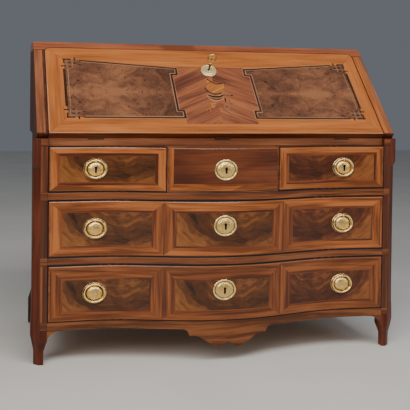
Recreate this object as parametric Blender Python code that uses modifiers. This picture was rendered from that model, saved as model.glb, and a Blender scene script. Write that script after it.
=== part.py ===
"""Slant-front bureau with a serpentine front.

A fall hinged at the writing bed closes a fitted interior with pigeonholes and small drawers. Below it are
two small drawers beside a fixed dummy front, and two long drawers, all on the same serpentine plan, with
canted corner posts that run down into short feet, a shaped apron and brass ring pulls.

Metres, +Z up. The front faces -Y, and the origin is on the floor under the middle of the bureau.
"""

import math

import bmesh
import bpy
from mathutils import Matrix

# Clearances
GAP = 0.0003                 # between pieces that touch
DRAWER_GAP = 0.0012          # round a drawer front
TRAY_GAP = 0.0015            # beside a drawer's sides
RUNNING_GAP = 0.0004         # between a turning or sliding fitting and its seat

# Carcass
BODY_DEPTH = 0.530           # from the plane of the drawer ends to the back
TOP_HEIGHT = 1.0235
TOP_THICKNESS = 0.027
TOP_BAND = 0.0187            # height of the top above the fall's upper edge
OPENING_HALF = 0.561         # half the clear width between the posts
SIDE_THICKNESS = 0.0357
SIDE_RECESS = 0.009          # a side's lower part, between the posts, behind its upper part
SIDE_FOOT_Z = 0.110          # lower edge of the side boards
BACK_THICKNESS = 0.016
BACK_INSET = 0.004           # back panel behind the rear edges
RAIL_DEPTH = 0.060
DUST_BOARD_THICKNESS = 0.010
BOTTOM_THICKNESS = 0.015
DIVIDER_THICKNESS = 0.014

# Serpentine front, seen from above: a bow in the middle, hollow flanks and level ends
FRONT_BOW = 0.0621
FLANK_HOLLOW = 0.0169
SHOULDER_HOLLOW = 0.0049
CURVE_STEP = 0.026           # longest straight run along the curve

# Drawer rows, from the writing bed down to the apron
BED_HEIGHT = 0.0240          # writing bed above the joint of the top row
RAIL_HEIGHT = (0.0261, 0.0249)
BASE_HEIGHT = 0.1352         # joint between the bottom drawer and the apron
ROW_SHARE = (0.2866, 0.3571, 0.3563)
DUMMY_LEFT_X = -0.1925       # joint between the left small drawer and the dummy front
DUMMY_RIGHT_X = 0.1730
FRONT_THICKNESS = 0.024
TRAY_WALL = 0.010
TRAY_BOTTOM = 0.009
TRAY_DROP = 0.006            # tray sides below the top of the front
TRAY_REAR_SPACE = 0.018      # free space behind a closed drawer

# Fall
WRITING_HEIGHT = 0.7086
HINGE_INSET = 0.0161         # hinge line behind the plane of the drawer ends
FALL_RUN = 0.2619            # fall's upper edge behind the hinge line
FALL_CORNER = 0.020          # rounding of its upper corners
FALL_THICKNESS = 0.022
FALL_GAP = 0.0008            # round the fall's edges
FALL_STOP = 0.015            # lap of the top's lip behind the fall
LIP_DEPTH = 0.034

# Corner posts and feet: widths outwards from the opening, and where they are reached
POST_DEPTH = 0.050
POST_WIDTH = 0.0450          # at the writing bed
WAIST_WIDTH = 0.0452
WAIST_DROP = 0.2790          # below the writing bed
ANKLE_WIDTH = 0.0472
ANKLE_Z = 0.160
KNEE_WIDTH = 0.0498
KNEE_Z = 0.118
KNEE_LOW_Z = 0.092           # knee down to here
COLLAR_Z = 0.043             # top of the foot's straight block
FOOT_REACH = 0.0395          # outer edge of that block
FOOT_WIDTH = 0.0305
FOOT_SHOULDER_Z = 0.075      # where the foot leaves the bracket
FOOT_SETBACK = 0.012         # front of the sole behind the front of the post
CANT = 0.0225
CANT_STOP_DROP = 0.0931      # below the writing bed
CANT_STOP_LENGTH = 0.014
SQUARE_EDGE = 0.008          # cant that is left on the square part of a post
BACK_POST_DEPTH = 0.046
BACK_POST_WIDTH = 0.0265
BACK_FOOT_REACH = 0.0375     # outer edge of a rear foot
BACK_FOOT_Z = 0.085          # rear foot straight up to here
BACK_FOOT_TAPER = 0.008

# Apron, seen from the front
APRON_THICKNESS = 0.022
APRON_EDGE_Z = 0.1097        # straight lower edge
BRACKET_SPAN = 0.0490        # reach of the bracket from the post
BRACKET_FOOT_Z = 0.0750
DROP_X = 0.0075              # middle of the shaped drop, from the middle of the bureau
STEP_X = 0.1474              # outer end of the quarter hollow, from the middle of the drop
STEP_RADIUS = 0.0205
STEP_LAND = 0.014            # flat below the hollow
LOBE_X = 0.0318              # lowest point of each lobe
LOBE_Z = 0.0533
POINT_Z = 0.0685             # notch between the lobes
LOBE_RISE = 0.0085
LOBE_CURL = 0.0183           # half width of the curl beside the notch

# Interior
GRADIN_FRONT = 0.345         # behind the plane of the drawer ends
GRADIN_BOARD = 0.009
NICHE_HALF = 0.150
NICHE_HEAD = 0.055           # above the arch of the niche
INNER_DRAWER_HEIGHT = 0.086
PIGEONHOLES = 3              # on each side
ARCH_RISE = 0.022
INNER_WALL = 0.006
INNER_FRONT = 0.010
INNER_REAR_SPACE = 0.010
INNER_KNOB_RADIUS = 0.008
INNER_KNOB_LENGTH = 0.016

# Butt hinges of the fall
HINGE_FROM_END = 0.1485      # middle of the outer hinges from the end of the fall's opening
HINGE_NAMES = ("left", "middle", "right")
HINGE_LENGTH = 0.050
LEAF_DEPTH = 0.022
LEAF_THICKNESS = 0.002
BARREL_RADIUS = 0.0032
PIN_RADIUS = 0.0014
KNUCKLE_LENGTH = 0.018       # middle knuckle, on the carcass leaf

# Fall lock, with its key
LOCK_DROP = 0.1021           # keyhole below the fall's upper edge
LOCK_HALF_WIDTH = 0.040
LOCK_BELOW = 0.040           # case below the keyhole
LOCK_ABOVE = 0.065
LOCK_DEPTH = 0.013
LOCK_WALL = 0.002
BOLT_HALF_WIDTH = 0.006
BOLT_THICKNESS = 0.006
BOLT_THROW = 0.012
BOLT_START = 0.0125          # bolt's tail above the keyhole
BOLT_DEPTH = 0.0045          # bolt in from the fall's inner face
FALL_PLATE_RADIUS = 0.028
FALL_PLATE_RISE = 0.004
KEY_RADIUS = 0.0030
KEY_STEM = 0.040             # from the fall's face to the bow
KEY_BOW_WIDTH = 0.034
KEY_BOW_LENGTH = 0.038
KEY_BOW_WIRE = 0.0024
KEY_BIT_REACH = 0.008
KEY_BIT_LENGTH = 0.006
KEY_BIT_THICKNESS = 0.0024

# Drawer locks
DRAWER_LOCK_HALF = 0.030
DRAWER_LOCK_HEIGHT = 0.045
DRAWER_LOCK_DEPTH = 0.012

# Brass plates and ring pulls
PLATE_WIDTH = 0.076
PLATE_HEIGHT = 0.066
PLATE_RIM = 0.0045
PLATE_RISE = 0.012           # dome of a ring pull
ESCUTCHEON_RISE = 0.009
PULL_SHARE = 0.738           # middle of a pull, as a share of the half width, in the hollow of the front
RING_WIDTH = 0.0725          # over the outside
RING_HEIGHT = 0.062
RING_RADIUS = 0.0036
EYE_RADIUS = 0.0058
EYE_WIDTH = 0.005
KEYHOLE_RADIUS = 0.0034
KEYHOLE_SLOT = 0.0044
KEYHOLE_DROP = 0.0115        # slot below the round hole
KEYHOLE_DEPTH = 0.006
ESCUTCHEON_LIFT = 0.010      # long drawers' keyholes above the middle of the front

# Turned profiles, from the middle of the face to the back: shares of the radius and of the rise
ESCUTCHEON_DOME = ((0.0, 1.0), (0.30, 0.94), (0.58, 0.75))
ESCUTCHEON_RIM = ((0.80, 0.85), (0.86, 0.75), (0.94, 1.0), (1.0, 0.7), (1.0, 0.0), (0.0, 0.0))
PULL_DOME = ((0.0, 1.0), (0.35, 0.93), (0.58, 0.72))
PULL_RIM = ((0.71, 0.75), (0.75, 0.75), (0.79, 1.0), (0.95, 1.0), (1.0, 0.7), (1.0, 0.0), (0.0, 0.0))
FALL_PLATE = ((0.0, 1.0), (0.35, 1.0), (0.75, 0.6), (0.92, 0.75), (1.0, 0.5), (1.0, 0.0), (0.0, 0.0))
KNOB = ((0.0, 1.0), (0.7, 0.9), (1.0, 0.65), (0.7, 0.4), (0.5, 0.2), (0.6, -0.3), (0.0, -0.3))

# Facets
ROUND_STEPS = 24
BARREL_STEPS = 12
ARC_STEPS = 8

# Values that follow from those above
FRONT_PLANE = (FRONT_BOW + ESCUTCHEON_RISE + GAP - BODY_DEPTH) / 2
BACK_PLANE = FRONT_PLANE + BODY_DEPTH
INSIDE_HALF = OPENING_HALF - GAP
SIDE_OUTER = OPENING_HALF + SIDE_THICKNESS
BACK_PANEL_FRONT = BACK_PLANE - BACK_INSET - BACK_THICKNESS
RAIL_BACK = FRONT_PLANE + RAIL_DEPTH
BLOCK_BACK = FRONT_PLANE + FRONT_THICKNESS
HINGE_Y = FRONT_PLANE + HINGE_INSET
POST_TOP_Z = WRITING_HEIGHT - GAP
CANT_STOP_Z = WRITING_HEIGHT - CANT_STOP_DROP
ROWS_HEIGHT = WRITING_HEIGHT - BED_HEIGHT - sum(RAIL_HEIGHT) - BASE_HEIGHT
ROW_BOTTOM_Z = (BASE_HEIGHT + sum(RAIL_HEIGHT) + ROWS_HEIGHT * sum(ROW_SHARE[1:]),
                BASE_HEIGHT + RAIL_HEIGHT[1] + ROWS_HEIGHT * ROW_SHARE[2], BASE_HEIGHT)
ROW_TOP_Z = tuple(low + ROWS_HEIGHT * share for low, share in zip(ROW_BOTTOM_Z, ROW_SHARE))
BED_UNDERSIDE = ROW_TOP_Z[0] + DRAWER_GAP / 2
APRON_TOP_Z = BASE_HEIGHT - DRAWER_GAP / 2
TOP_UNDERSIDE = TOP_HEIGHT - TOP_THICKNESS
FALL_RISE = TOP_HEIGHT - TOP_BAND - WRITING_HEIGHT
FALL_END = math.sqrt(FALL_RUN ** 2 + FALL_RISE ** 2 - FALL_THICKNESS ** 2)
FALL_ANGLE = math.atan2(FALL_RISE, FALL_RUN) - math.atan2(FALL_THICKNESS, FALL_END)
FALL_LENGTH = FALL_END - FALL_GAP
LOCK_S = FALL_LENGTH - LOCK_DROP
HINGE_REACH = OPENING_HALF - HINGE_FROM_END
HINGE_X = (-HINGE_REACH, 0.0, HINGE_REACH)
PULL_X = OPENING_HALF * PULL_SHARE
KEYHOLE_X = (DUMMY_LEFT_X + DUMMY_RIGHT_X) / 2
INNER_DEPTH = BACK_PANEL_FRONT - FRONT_PLANE - GRADIN_FRONT - INNER_REAR_SPACE
RING_DROP = RING_HEIGHT / 2 - RING_RADIUS
RING_OFFSET = PLATE_RIM + RUNNING_GAP + RING_RADIUS

parts = bpy.data.collections.new("bureau")
cutters = bpy.data.collections.new("bureau_cutters")


def front_y(x):
    """The serpentine front: Y at x, level beyond the drawer ends."""
    turn = math.pi * min(abs(x) / OPENING_HALF, 1.0)
    bow = FRONT_BOW * (1 + math.cos(turn)) / 2
    hollow = FLANK_HOLLOW * (1 - math.cos(2 * turn)) / 2
    shoulder = SHOULDER_HOLLOW * (math.cos(3 * turn) - math.cos(turn)) / 2
    return FRONT_PLANE - bow + hollow + shoulder


def slope_point(along, height):
    """(Y, Z) of a point that far up the fall from the hinge line, and that high above its inner face."""
    y = HINGE_Y + along * math.cos(FALL_ANGLE) - height * math.sin(FALL_ANGLE)
    z = WRITING_HEIGHT + along * math.sin(FALL_ANGLE) + height * math.cos(FALL_ANGLE)
    return y, z


def slope_y(z):
    """Y of the fall's outer plane at that height."""
    foot_y, foot_z = slope_point(0.0, FALL_THICKNESS)
    return foot_y + (z - foot_z) / math.tan(FALL_ANGLE)


def curve_stations(x0, x1):
    """Evenly spaced x values from x0 to x1, close enough for the serpentine curve."""
    count = max(2, math.ceil((x1 - x0) / CURVE_STEP))
    return [x0 + (x1 - x0) * i / count for i in range(count + 1)]


def serpentine_outline(x0, x1, set_back, thickness):
    """Plan outline of a bent board: the serpentine set back by that much, and the same curve behind it."""
    stations = curve_stations(x0, x1)
    outline = [(x, front_y(x) + set_back) for x in stations]
    return outline + [(x, front_y(x) + set_back + thickness) for x in reversed(stations)]


def straight_back_outline(x0, x1, set_back, y_back):
    """Plan outline: the serpentine set back by that much in front, and a straight back."""
    outline = [(x, front_y(x) + set_back) for x in curve_stations(x0, x1)]
    return outline + [(x1, y_back), (x0, y_back)]


def arc(centre, radii, start, end, steps=ARC_STEPS):
    """Points along an elliptical arc, in degrees."""
    points = []
    for i in range(steps + 1):
        angle = math.radians(start + (end - start) * i / steps)
        points.append((centre[0] + radii[0] * math.cos(angle), centre[1] + radii[1] * math.sin(angle)))
    return points


def finish(colour, roughness, metallic=0.0):
    """A Principled finish, kept as values until a piece makes its own material of it."""
    return {"colour": colour, "roughness": roughness, "metallic": metallic}


DARK_WALNUT = finish((0.16, 0.055, 0.025), 0.28)
BANDED_WALNUT = finish((0.28, 0.115, 0.040), 0.25)
FALL_VENEER = finish((0.40, 0.185, 0.070), 0.25)
PINE = finish((0.46, 0.29, 0.15), 0.6)
BRASS = finish((0.80, 0.66, 0.38), 0.3, 1.0)
STEEL = finish((0.33, 0.32, 0.31), 0.4, 1.0)


def give_material(piece, look):
    """The piece's own Principled material."""
    material = bpy.data.materials.new(piece.name)
    material.use_nodes = True
    shader = material.node_tree.nodes["Principled BSDF"]
    shader.inputs["Base Color"].default_value = (*look["colour"], 1.0)
    shader.inputs["Roughness"].default_value = look["roughness"]
    shader.inputs["Metallic"].default_value = look["metallic"]
    material.diffuse_color = (*look["colour"], 1.0)
    piece.data.materials.append(material)


def new_piece(name, mesh, look, parent=None):
    """A named sub-part from a mesh."""
    piece = bpy.data.objects.new(name, mesh)
    parts.objects.link(piece)
    piece.parent = parent
    give_material(piece, look)
    return piece


def new_cutter(mesh, parent=None):
    """A hidden tool for a Boolean."""
    cutter = bpy.data.objects.new("cutter", mesh)
    cutters.objects.link(cutter)
    cutter.parent = parent
    cutter.hide_render = True
    cutter.display_type = "WIRE"
    return cutter


def combine(piece, tool_mesh, operation, parent=None):
    """A Boolean of the piece with a tool mesh in the parent's frame."""
    modifier = piece.modifiers.new(operation.lower(), "BOOLEAN")
    modifier.operation = operation
    modifier.object = new_cutter(tool_mesh, parent)


def axis_empty(name, location, rotation=(0.0, 0.0, 0.0)):
    """A joint's axis or a slide's start, which carries what moves with it."""
    empty = bpy.data.objects.new(name, None)
    empty.location = location
    empty.rotation_euler = rotation
    empty.empty_display_size = 0.05
    parts.objects.link(empty)
    return empty


def box_mesh(low, high):
    """A box between two corners."""
    mesh = bpy.data.meshes.new("box")
    solid = bmesh.new()
    size = [high[i] - low[i] for i in range(3)]
    middle = [(high[i] + low[i]) / 2 for i in range(3)]
    bmesh.ops.create_cube(solid, matrix=Matrix.Translation(middle) @ Matrix.Diagonal((*size, 1.0)))
    solid.to_mesh(mesh)
    solid.free()
    return mesh


def rod_mesh(radius, x0, x1, y=0.0, z=0.0, steps=BARREL_STEPS):
    """A round rod along X."""
    mesh = bpy.data.meshes.new("rod")
    solid = bmesh.new()
    place = Matrix.Translation(((x0 + x1) / 2, y, z)) @ Matrix.Rotation(math.pi / 2, 4, "Y")
    bmesh.ops.create_cone(solid, cap_ends=True, segments=steps, radius1=radius, radius2=radius,
                          depth=x1 - x0, matrix=place)
    solid.to_mesh(mesh)
    solid.free()
    return mesh


def pillar_mesh(radius, z0, z1, x=0.0, y=0.0, steps=BARREL_STEPS):
    """A round rod along Z."""
    mesh = bpy.data.meshes.new("pillar")
    solid = bmesh.new()
    bmesh.ops.create_cone(solid, cap_ends=True, segments=steps, radius1=radius, radius2=radius,
                          depth=z1 - z0, matrix=Matrix.Translation((x, y, (z0 + z1) / 2)))
    solid.to_mesh(mesh)
    solid.free()
    return mesh


def mesh_of(holder):
    """The closed mesh of a curve or of a modified object, which is then removed."""
    bpy.context.scene.collection.objects.link(holder)
    bpy.context.view_layer.update()
    graph = bpy.context.evaluated_depsgraph_get()
    mesh = bpy.data.meshes.new_from_object(holder.evaluated_get(graph))
    bpy.data.objects.remove(holder)
    solid = bmesh.new()
    solid.from_mesh(mesh)
    bmesh.ops.remove_doubles(solid, verts=solid.verts, dist=1e-6)
    bmesh.ops.recalc_face_normals(solid, faces=solid.faces)
    solid.to_mesh(mesh)
    solid.free()
    mesh.materials.clear()
    return mesh


def prism_mesh(loops, low, high):
    """Flat outlines in XY, with any holes as further loops, from z = low to z = high."""
    curve = bpy.data.curves.new("outline", "CURVE")
    curve.dimensions = "2D"
    curve.fill_mode = "BOTH"
    curve.extrude = (high - low) / 2
    for points in loops:
        spline = curve.splines.new("POLY")
        spline.points.add(len(points) - 1)
        spline.use_cyclic_u = True
        for point, (x, y) in zip(spline.points, points):
            point.co = (x, y, 0.0, 1.0)
    mesh = mesh_of(bpy.data.objects.new("outline", curve))
    mesh.transform(Matrix.Translation((0.0, 0.0, (low + high) / 2)))
    return mesh


def elevation_mesh(loops, y_front, y_back):
    """Outlines in XZ, as seen from the front, from y_front to y_back."""
    mesh = prism_mesh(loops, -y_back, -y_front)
    mesh.transform(Matrix.Rotation(math.pi / 2, 4, "X"))
    return mesh


def profile_mesh(loops, x0, x1):
    """Outlines in YZ, as seen from the right end, from x0 to x1."""
    mesh = prism_mesh(loops, x0, x1)
    mesh.transform(Matrix.Rotation(math.pi / 2, 4, "Z") @ Matrix.Rotation(math.pi / 2, 4, "X"))
    return mesh


def turned_mesh(profile, steps=ROUND_STEPS):
    """A solid of revolution about Z from (radius, height) points that run down the outer side."""
    mesh = bpy.data.meshes.new("profile")
    points = [(radius, 0.0, height) for radius, height in profile]
    mesh.from_pydata(points, [(i, i + 1) for i in range(len(points) - 1)], [])
    holder = bpy.data.objects.new("profile", mesh)
    screw = holder.modifiers.new("turn", "SCREW")
    screw.steps = steps
    screw.render_steps = steps
    screw.use_merge_vertices = True
    screw.merge_threshold = 0.00001
    return mesh_of(holder)


def scaled(shares, radius, rise):
    """A turned profile's points from its shares."""
    return [(share * radius, height * rise) for share, height in shares]


def loft_mesh(sections):
    """A closed skin through rings of points with the same count, from the first to the last."""
    mesh = bpy.data.meshes.new("loft")
    solid = bmesh.new()
    rings = []
    for section in sections:
        verts = [solid.verts.new(point) for point in section]
        edges = [solid.edges.new((verts[i - 1], verts[i])) for i in range(len(verts))]
        rings.append((verts, edges))
    for (_, lower), (_, upper) in zip(rings, rings[1:]):
        bmesh.ops.bridge_loops(solid, edges=lower + upper)
    solid.faces.new(rings[0][0])
    solid.faces.new(rings[-1][0])
    bmesh.ops.recalc_face_normals(solid, faces=solid.faces)
    solid.to_mesh(mesh)
    solid.free()
    return mesh


def smooth(piece):
    """Shades a round piece smooth, with its hard edges kept."""
    piece.data.shade_smooth()
    piece.data.set_sharp_from_angle(angle=math.radians(35))


def post_widths():
    """(z, width outwards from the opening) of a front post, from the sole up to the writing bed."""
    return [(0.0, FOOT_REACH), (COLLAR_Z, FOOT_REACH), (KNEE_LOW_Z, KNEE_WIDTH), (KNEE_Z, KNEE_WIDTH),
            (ANKLE_Z, ANKLE_WIDTH), (WRITING_HEIGHT - WAIST_DROP, WAIST_WIDTH), (POST_TOP_Z, POST_WIDTH)]


def post_width(z):
    """A front post's width at that height, straight between the named heights."""
    known = post_widths()
    for (z0, width0), (z1, width1) in zip(known, known[1:]):
        if z <= z1:
            return width0 + (width1 - width0) * (z - z0) / (z1 - z0)
    return POST_WIDTH


def front_post(side, name):
    """A canted corner post that runs down into its foot; side is -1 for the left and 1 for the right."""
    heights = {z for z, _ in post_widths()}
    heights |= {FOOT_SHOULDER_Z, CANT_STOP_Z, CANT_STOP_Z + CANT_STOP_LENGTH}
    sections = []
    for z in sorted(heights):
        below = min(1.0, max(0.0, (FOOT_SHOULDER_Z - z) / (FOOT_SHOULDER_Z - COLLAR_Z)))
        front = FRONT_PLANE + FOOT_SETBACK * below
        back = FRONT_PLANE + POST_DEPTH - FOOT_SETBACK * below
        outer = OPENING_HALF + post_width(z)
        inner = OPENING_HALF + (FOOT_REACH - FOOT_WIDTH) * below
        cant = CANT if z <= CANT_STOP_Z else SQUARE_EDGE
        cant = min(cant, (outer - inner) * CANT / POST_WIDTH)
        plan = [(inner, front), (outer - cant, front), (outer, front + cant), (outer, back), (inner, back)]
        sections.append([(side * x, y, z) for x, y in plan])
    return new_piece(name, loft_mesh(sections), DARK_WALNUT)


def back_post(side, name):
    """A square rear post, set out at its foot."""
    front = BACK_PLANE - BACK_POST_DEPTH
    levels = ((0.0, BACK_FOOT_REACH, BACK_FOOT_TAPER), (BACK_FOOT_Z, BACK_FOOT_REACH, 0.0),
              (KNEE_Z, BACK_POST_WIDTH, 0.0), (POST_TOP_Z, BACK_POST_WIDTH, 0.0))
    sections = []
    for z, width, taper in levels:
        inner = OPENING_HALF + taper / 2
        outer = OPENING_HALF + width
        plan = [(inner, front + taper), (outer, front + taper), (outer, BACK_PLANE), (inner, BACK_PLANE)]
        sections.append([(side * x, y, z) for x, y in plan])
    return new_piece(name, loft_mesh(sections), DARK_WALNUT)


def side_board(side, name):
    """A side: a board between the posts below, and a thicker part above, cut to the slope of the fall."""
    bed = WRITING_HEIGHT
    high = TOP_UNDERSIDE - GAP
    outline = [(HINGE_Y, bed), slope_point(0.0, FALL_THICKNESS), (slope_y(high), high), (BACK_PLANE, high),
               (BACK_PLANE, bed)]
    x0, x1 = sorted((side * OPENING_HALF, side * SIDE_OUTER))
    piece = new_piece(name, profile_mesh([outline], x0, x1), DARK_WALNUT)
    x0, x1 = sorted((side * OPENING_HALF, side * (SIDE_OUTER - SIDE_RECESS)))
    lower = box_mesh((x0, FRONT_PLANE + POST_DEPTH + GAP, SIDE_FOOT_Z),
                     (x1, BACK_PLANE - BACK_POST_DEPTH - GAP, bed + SIDE_THICKNESS))
    combine(piece, lower, "UNION")
    return piece


def fall_outline(margin):
    """The fall's outline in its own plane, x and distance from the hinge line, with a margin round it."""
    half = OPENING_HALF - FALL_GAP + margin
    high = FALL_LENGTH + margin
    radius = FALL_CORNER + margin
    right = arc((half - radius, high - radius), (radius, radius), 0, 90)
    left = arc((radius - half, high - radius), (radius, radius), 90, 180)
    return [(-half, -margin), (half, -margin)] + right + left


def top_board(fall_axis):
    """The top, sloped and cut out for the fall, with a lip that stops the fall and takes its bolt."""
    slab = [(slope_y(TOP_UNDERSIDE), TOP_UNDERSIDE), (slope_y(TOP_HEIGHT), TOP_HEIGHT),
            (BACK_PLANE, TOP_HEIGHT), (BACK_PLANE, TOP_UNDERSIDE)]
    piece = new_piece("top_board", profile_mesh([slab], -SIDE_OUTER, SIDE_OUTER), DARK_WALNUT)
    lip_low = slope_point(FALL_LENGTH - FALL_STOP, -GAP)
    lip_back = lip_low[0] + LIP_DEPTH
    lip_top = TOP_UNDERSIDE + TOP_THICKNESS / 4
    lip = [(slope_y(lip_top) + FALL_THICKNESS / 4, lip_top), (lip_back, lip_top),
           (lip_back, lip_low[1]), (lip_low[0] - FALL_THICKNESS / 2, lip_low[1])]
    combine(piece, profile_mesh([lip], -INSIDE_HALF, INSIDE_HALF), "UNION")
    room = prism_mesh([fall_outline(FALL_GAP)], -GAP, FALL_THICKNESS * 2)
    combine(piece, room, "DIFFERENCE", fall_axis)
    return piece


def boards():
    """Back, bottom, dust boards, rails, dividers and the writing bed."""
    back_front = BACK_PANEL_FRONT - GAP
    bottom_low = APRON_TOP_Z - BOTTOM_THICKNESS
    new_piece("back_panel", box_mesh((-INSIDE_HALF, BACK_PANEL_FRONT, bottom_low),
                                     (INSIDE_HALF, BACK_PLANE - BACK_INSET, TOP_UNDERSIDE - GAP)), PINE)
    bottom = straight_back_outline(-INSIDE_HALF, INSIDE_HALF, APRON_THICKNESS + GAP, back_front)
    new_piece("bottom_board", prism_mesh([bottom], bottom_low, APRON_TOP_Z), PINE)
    for name, row in (("upper", 0), ("lower", 1)):
        low = ROW_TOP_Z[row + 1] + DRAWER_GAP / 2
        high = ROW_BOTTOM_Z[row] - DRAWER_GAP / 2
        rail = straight_back_outline(-INSIDE_HALF, INSIDE_HALF, 0.0, RAIL_BACK)
        new_piece("rail_" + name, prism_mesh([rail], low, high), DARK_WALNUT)
        new_piece("dust_board_" + name,
                  box_mesh((-INSIDE_HALF, RAIL_BACK + GAP, high - DUST_BOARD_THICKNESS),
                           (INSIDE_HALF, back_front, high)), PINE)
    rail_top = new_piece("rail_top", box_mesh((-INSIDE_HALF, HINGE_Y + GAP, BED_UNDERSIDE),
                                              (INSIDE_HALF, RAIL_BACK, WRITING_HEIGHT)), DARK_WALNUT)
    new_piece("writing_bed", box_mesh((-INSIDE_HALF, RAIL_BACK + GAP, BED_UNDERSIDE),
                                      (INSIDE_HALF, back_front, WRITING_HEIGHT)), DARK_WALNUT)
    row_floor = ROW_BOTTOM_Z[0] - DRAWER_GAP / 2 + GAP
    for name, inward, edge in (("left", 1, DUMMY_LEFT_X), ("right", -1, DUMMY_RIGHT_X)):
        far = edge + inward * DIVIDER_THICKNESS
        new_piece("divider_" + name, box_mesh((min(edge, far), BLOCK_BACK + GAP, row_floor),
                                              (max(edge, far), back_front, BED_UNDERSIDE - GAP)), PINE)
    return rail_top


def ogee(start, end, steps=2 * ARC_STEPS):
    """Points along a double curve that is level at both ends."""
    points = []
    for i in range(steps + 1):
        share = i / steps
        sweep = (1 - math.cos(math.pi * share)) / 2
        points.append((start[0] + (end[0] - start[0]) * share, start[1] + (end[1] - start[1]) * sweep))
    return points


def drop_edge():
    """The right half of the shaped drop, from the hollow to its lobe, about the drop's own middle."""
    land = (STEP_X - STEP_RADIUS - STEP_LAND, APRON_EDGE_Z - STEP_RADIUS)
    hollow = arc((STEP_X, land[1]), (STEP_RADIUS, STEP_RADIUS), 90, 180)
    lobe = arc((LOBE_X, LOBE_Z + LOBE_RISE), (LOBE_CURL, LOBE_RISE), -90, -160)
    return hollow + ogee(land, (LOBE_X, LOBE_Z)) + lobe[1:]


def apron_lower_edge():
    """The apron's lower edge from the right post to the left one: bracket, shaped drop, bracket."""
    bracket_rise = APRON_EDGE_Z - BRACKET_FOOT_Z
    bracket = arc((INSIDE_HALF - BRACKET_SPAN, BRACKET_FOOT_Z), (BRACKET_SPAN, bracket_rise), 0, 90)
    drop = drop_edge()
    right = bracket + [(DROP_X + x, z) for x, z in drop]
    left = [(DROP_X - x, z) for x, z in reversed(drop)] + [(-x, z) for x, z in reversed(bracket)]
    return right + [(DROP_X, POINT_Z)] + left


def apron():
    """The shaped apron: its face outline, cut to the serpentine plan."""
    beyond = INSIDE_HALF + APRON_THICKNESS
    above = APRON_TOP_Z + APRON_THICKNESS
    face = [(beyond, above), (beyond, BRACKET_FOOT_Z)] + apron_lower_edge()
    face += [(-beyond, BRACKET_FOOT_Z), (-beyond, above)]
    slab = serpentine_outline(-INSIDE_HALF, INSIDE_HALF, 0.0, APRON_THICKNESS)
    piece = new_piece("apron", prism_mesh([slab], 0.0, APRON_TOP_Z), DARK_WALNUT)
    combine(piece, elevation_mesh([face], FRONT_PLANE - FRONT_BOW * 2, RAIL_BACK), "INTERSECT")
    return piece


def gradin_bays():
    """X ranges of the left drawer bay, and of the pigeonholes above it, with their mirror images."""
    outer = INSIDE_HALF - GRADIN_BOARD
    inner = NICHE_HALF + GRADIN_BOARD
    pitch = (outer - inner + GRADIN_BOARD) / PIGEONHOLES
    holes = []
    for i in range(PIGEONHOLES):
        start = inner + i * pitch
        holes.append((start, start + pitch - GRADIN_BOARD))
    return (inner, outer), holes


def arched(x0, x1, z0, z1):
    """A pigeonhole's outline, with a low arch for its head."""
    half = (x1 - x0) / 2
    head = arc(((x0 + x1) / 2, z1 - ARCH_RISE), (half, ARCH_RISE), 0, 180)
    return [(x0, z0), (x1, z0)] + head


def gradin():
    """The fitted interior: one lattice of boards, open at the front, against the back panel."""
    low = WRITING_HEIGHT + GAP
    high = TOP_UNDERSIDE - GAP
    bay, holes = gradin_bays()
    drawer_low = low + GRADIN_BOARD
    drawer_high = drawer_low + INNER_DRAWER_HEIGHT
    loops = [[(-INSIDE_HALF, low), (INSIDE_HALF, low), (INSIDE_HALF, high), (-INSIDE_HALF, high)],
             arched(-NICHE_HALF, NICHE_HALF, drawer_low, high - NICHE_HEAD)]
    for side in (-1, 1):
        x0, x1 = sorted((side * bay[0], side * bay[1]))
        loops.append([(x0, drawer_low), (x1, drawer_low), (x1, drawer_high), (x0, drawer_high)])
        for hole in holes:
            x0, x1 = sorted((side * hole[0], side * hole[1]))
            loops.append(arched(x0, x1, drawer_high + GRADIN_BOARD, high - GRADIN_BOARD))
    mesh = elevation_mesh(loops, FRONT_PLANE + GRADIN_FRONT, BACK_PANEL_FRONT - GAP)
    new_piece("gradin", mesh, BANDED_WALNUT)
    for side, name in ((-1, "left"), (1, "right")):
        inner_drawer(side, name, bay, drawer_low, drawer_high)


def inner_drawer(side, name, bay, low, high):
    """A small drawer of the interior, with its front, tray and turned knob in one."""
    x0, x1 = sorted((side * bay[0], side * bay[1]))
    x0 += DRAWER_GAP / 2
    x1 -= DRAWER_GAP / 2
    low += GAP
    high -= DRAWER_GAP
    front = FRONT_PLANE + GRADIN_FRONT + GAP
    slide = axis_empty("inner_drawer_" + name + "_slide", ((x0 + x1) / 2, front, (low + high) / 2))
    half = (x1 - x0) / 2
    tall = (high - low) / 2
    piece = new_piece("inner_drawer_" + name, box_mesh((-half, 0.0, -tall), (half, INNER_DEPTH, tall)),
                      BANDED_WALNUT, slide)
    hollow = box_mesh((INNER_WALL - half, INNER_FRONT, INNER_WALL - tall),
                      (half - INNER_WALL, INNER_DEPTH - INNER_WALL, tall * 2))
    combine(piece, hollow, "DIFFERENCE", slide)
    knob = turned_mesh(scaled(KNOB, INNER_KNOB_RADIUS, INNER_KNOB_LENGTH), BARREL_STEPS)
    knob.transform(Matrix.Rotation(math.pi / 2, 4, "X"))
    combine(piece, knob, "UNION", slide)


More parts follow.
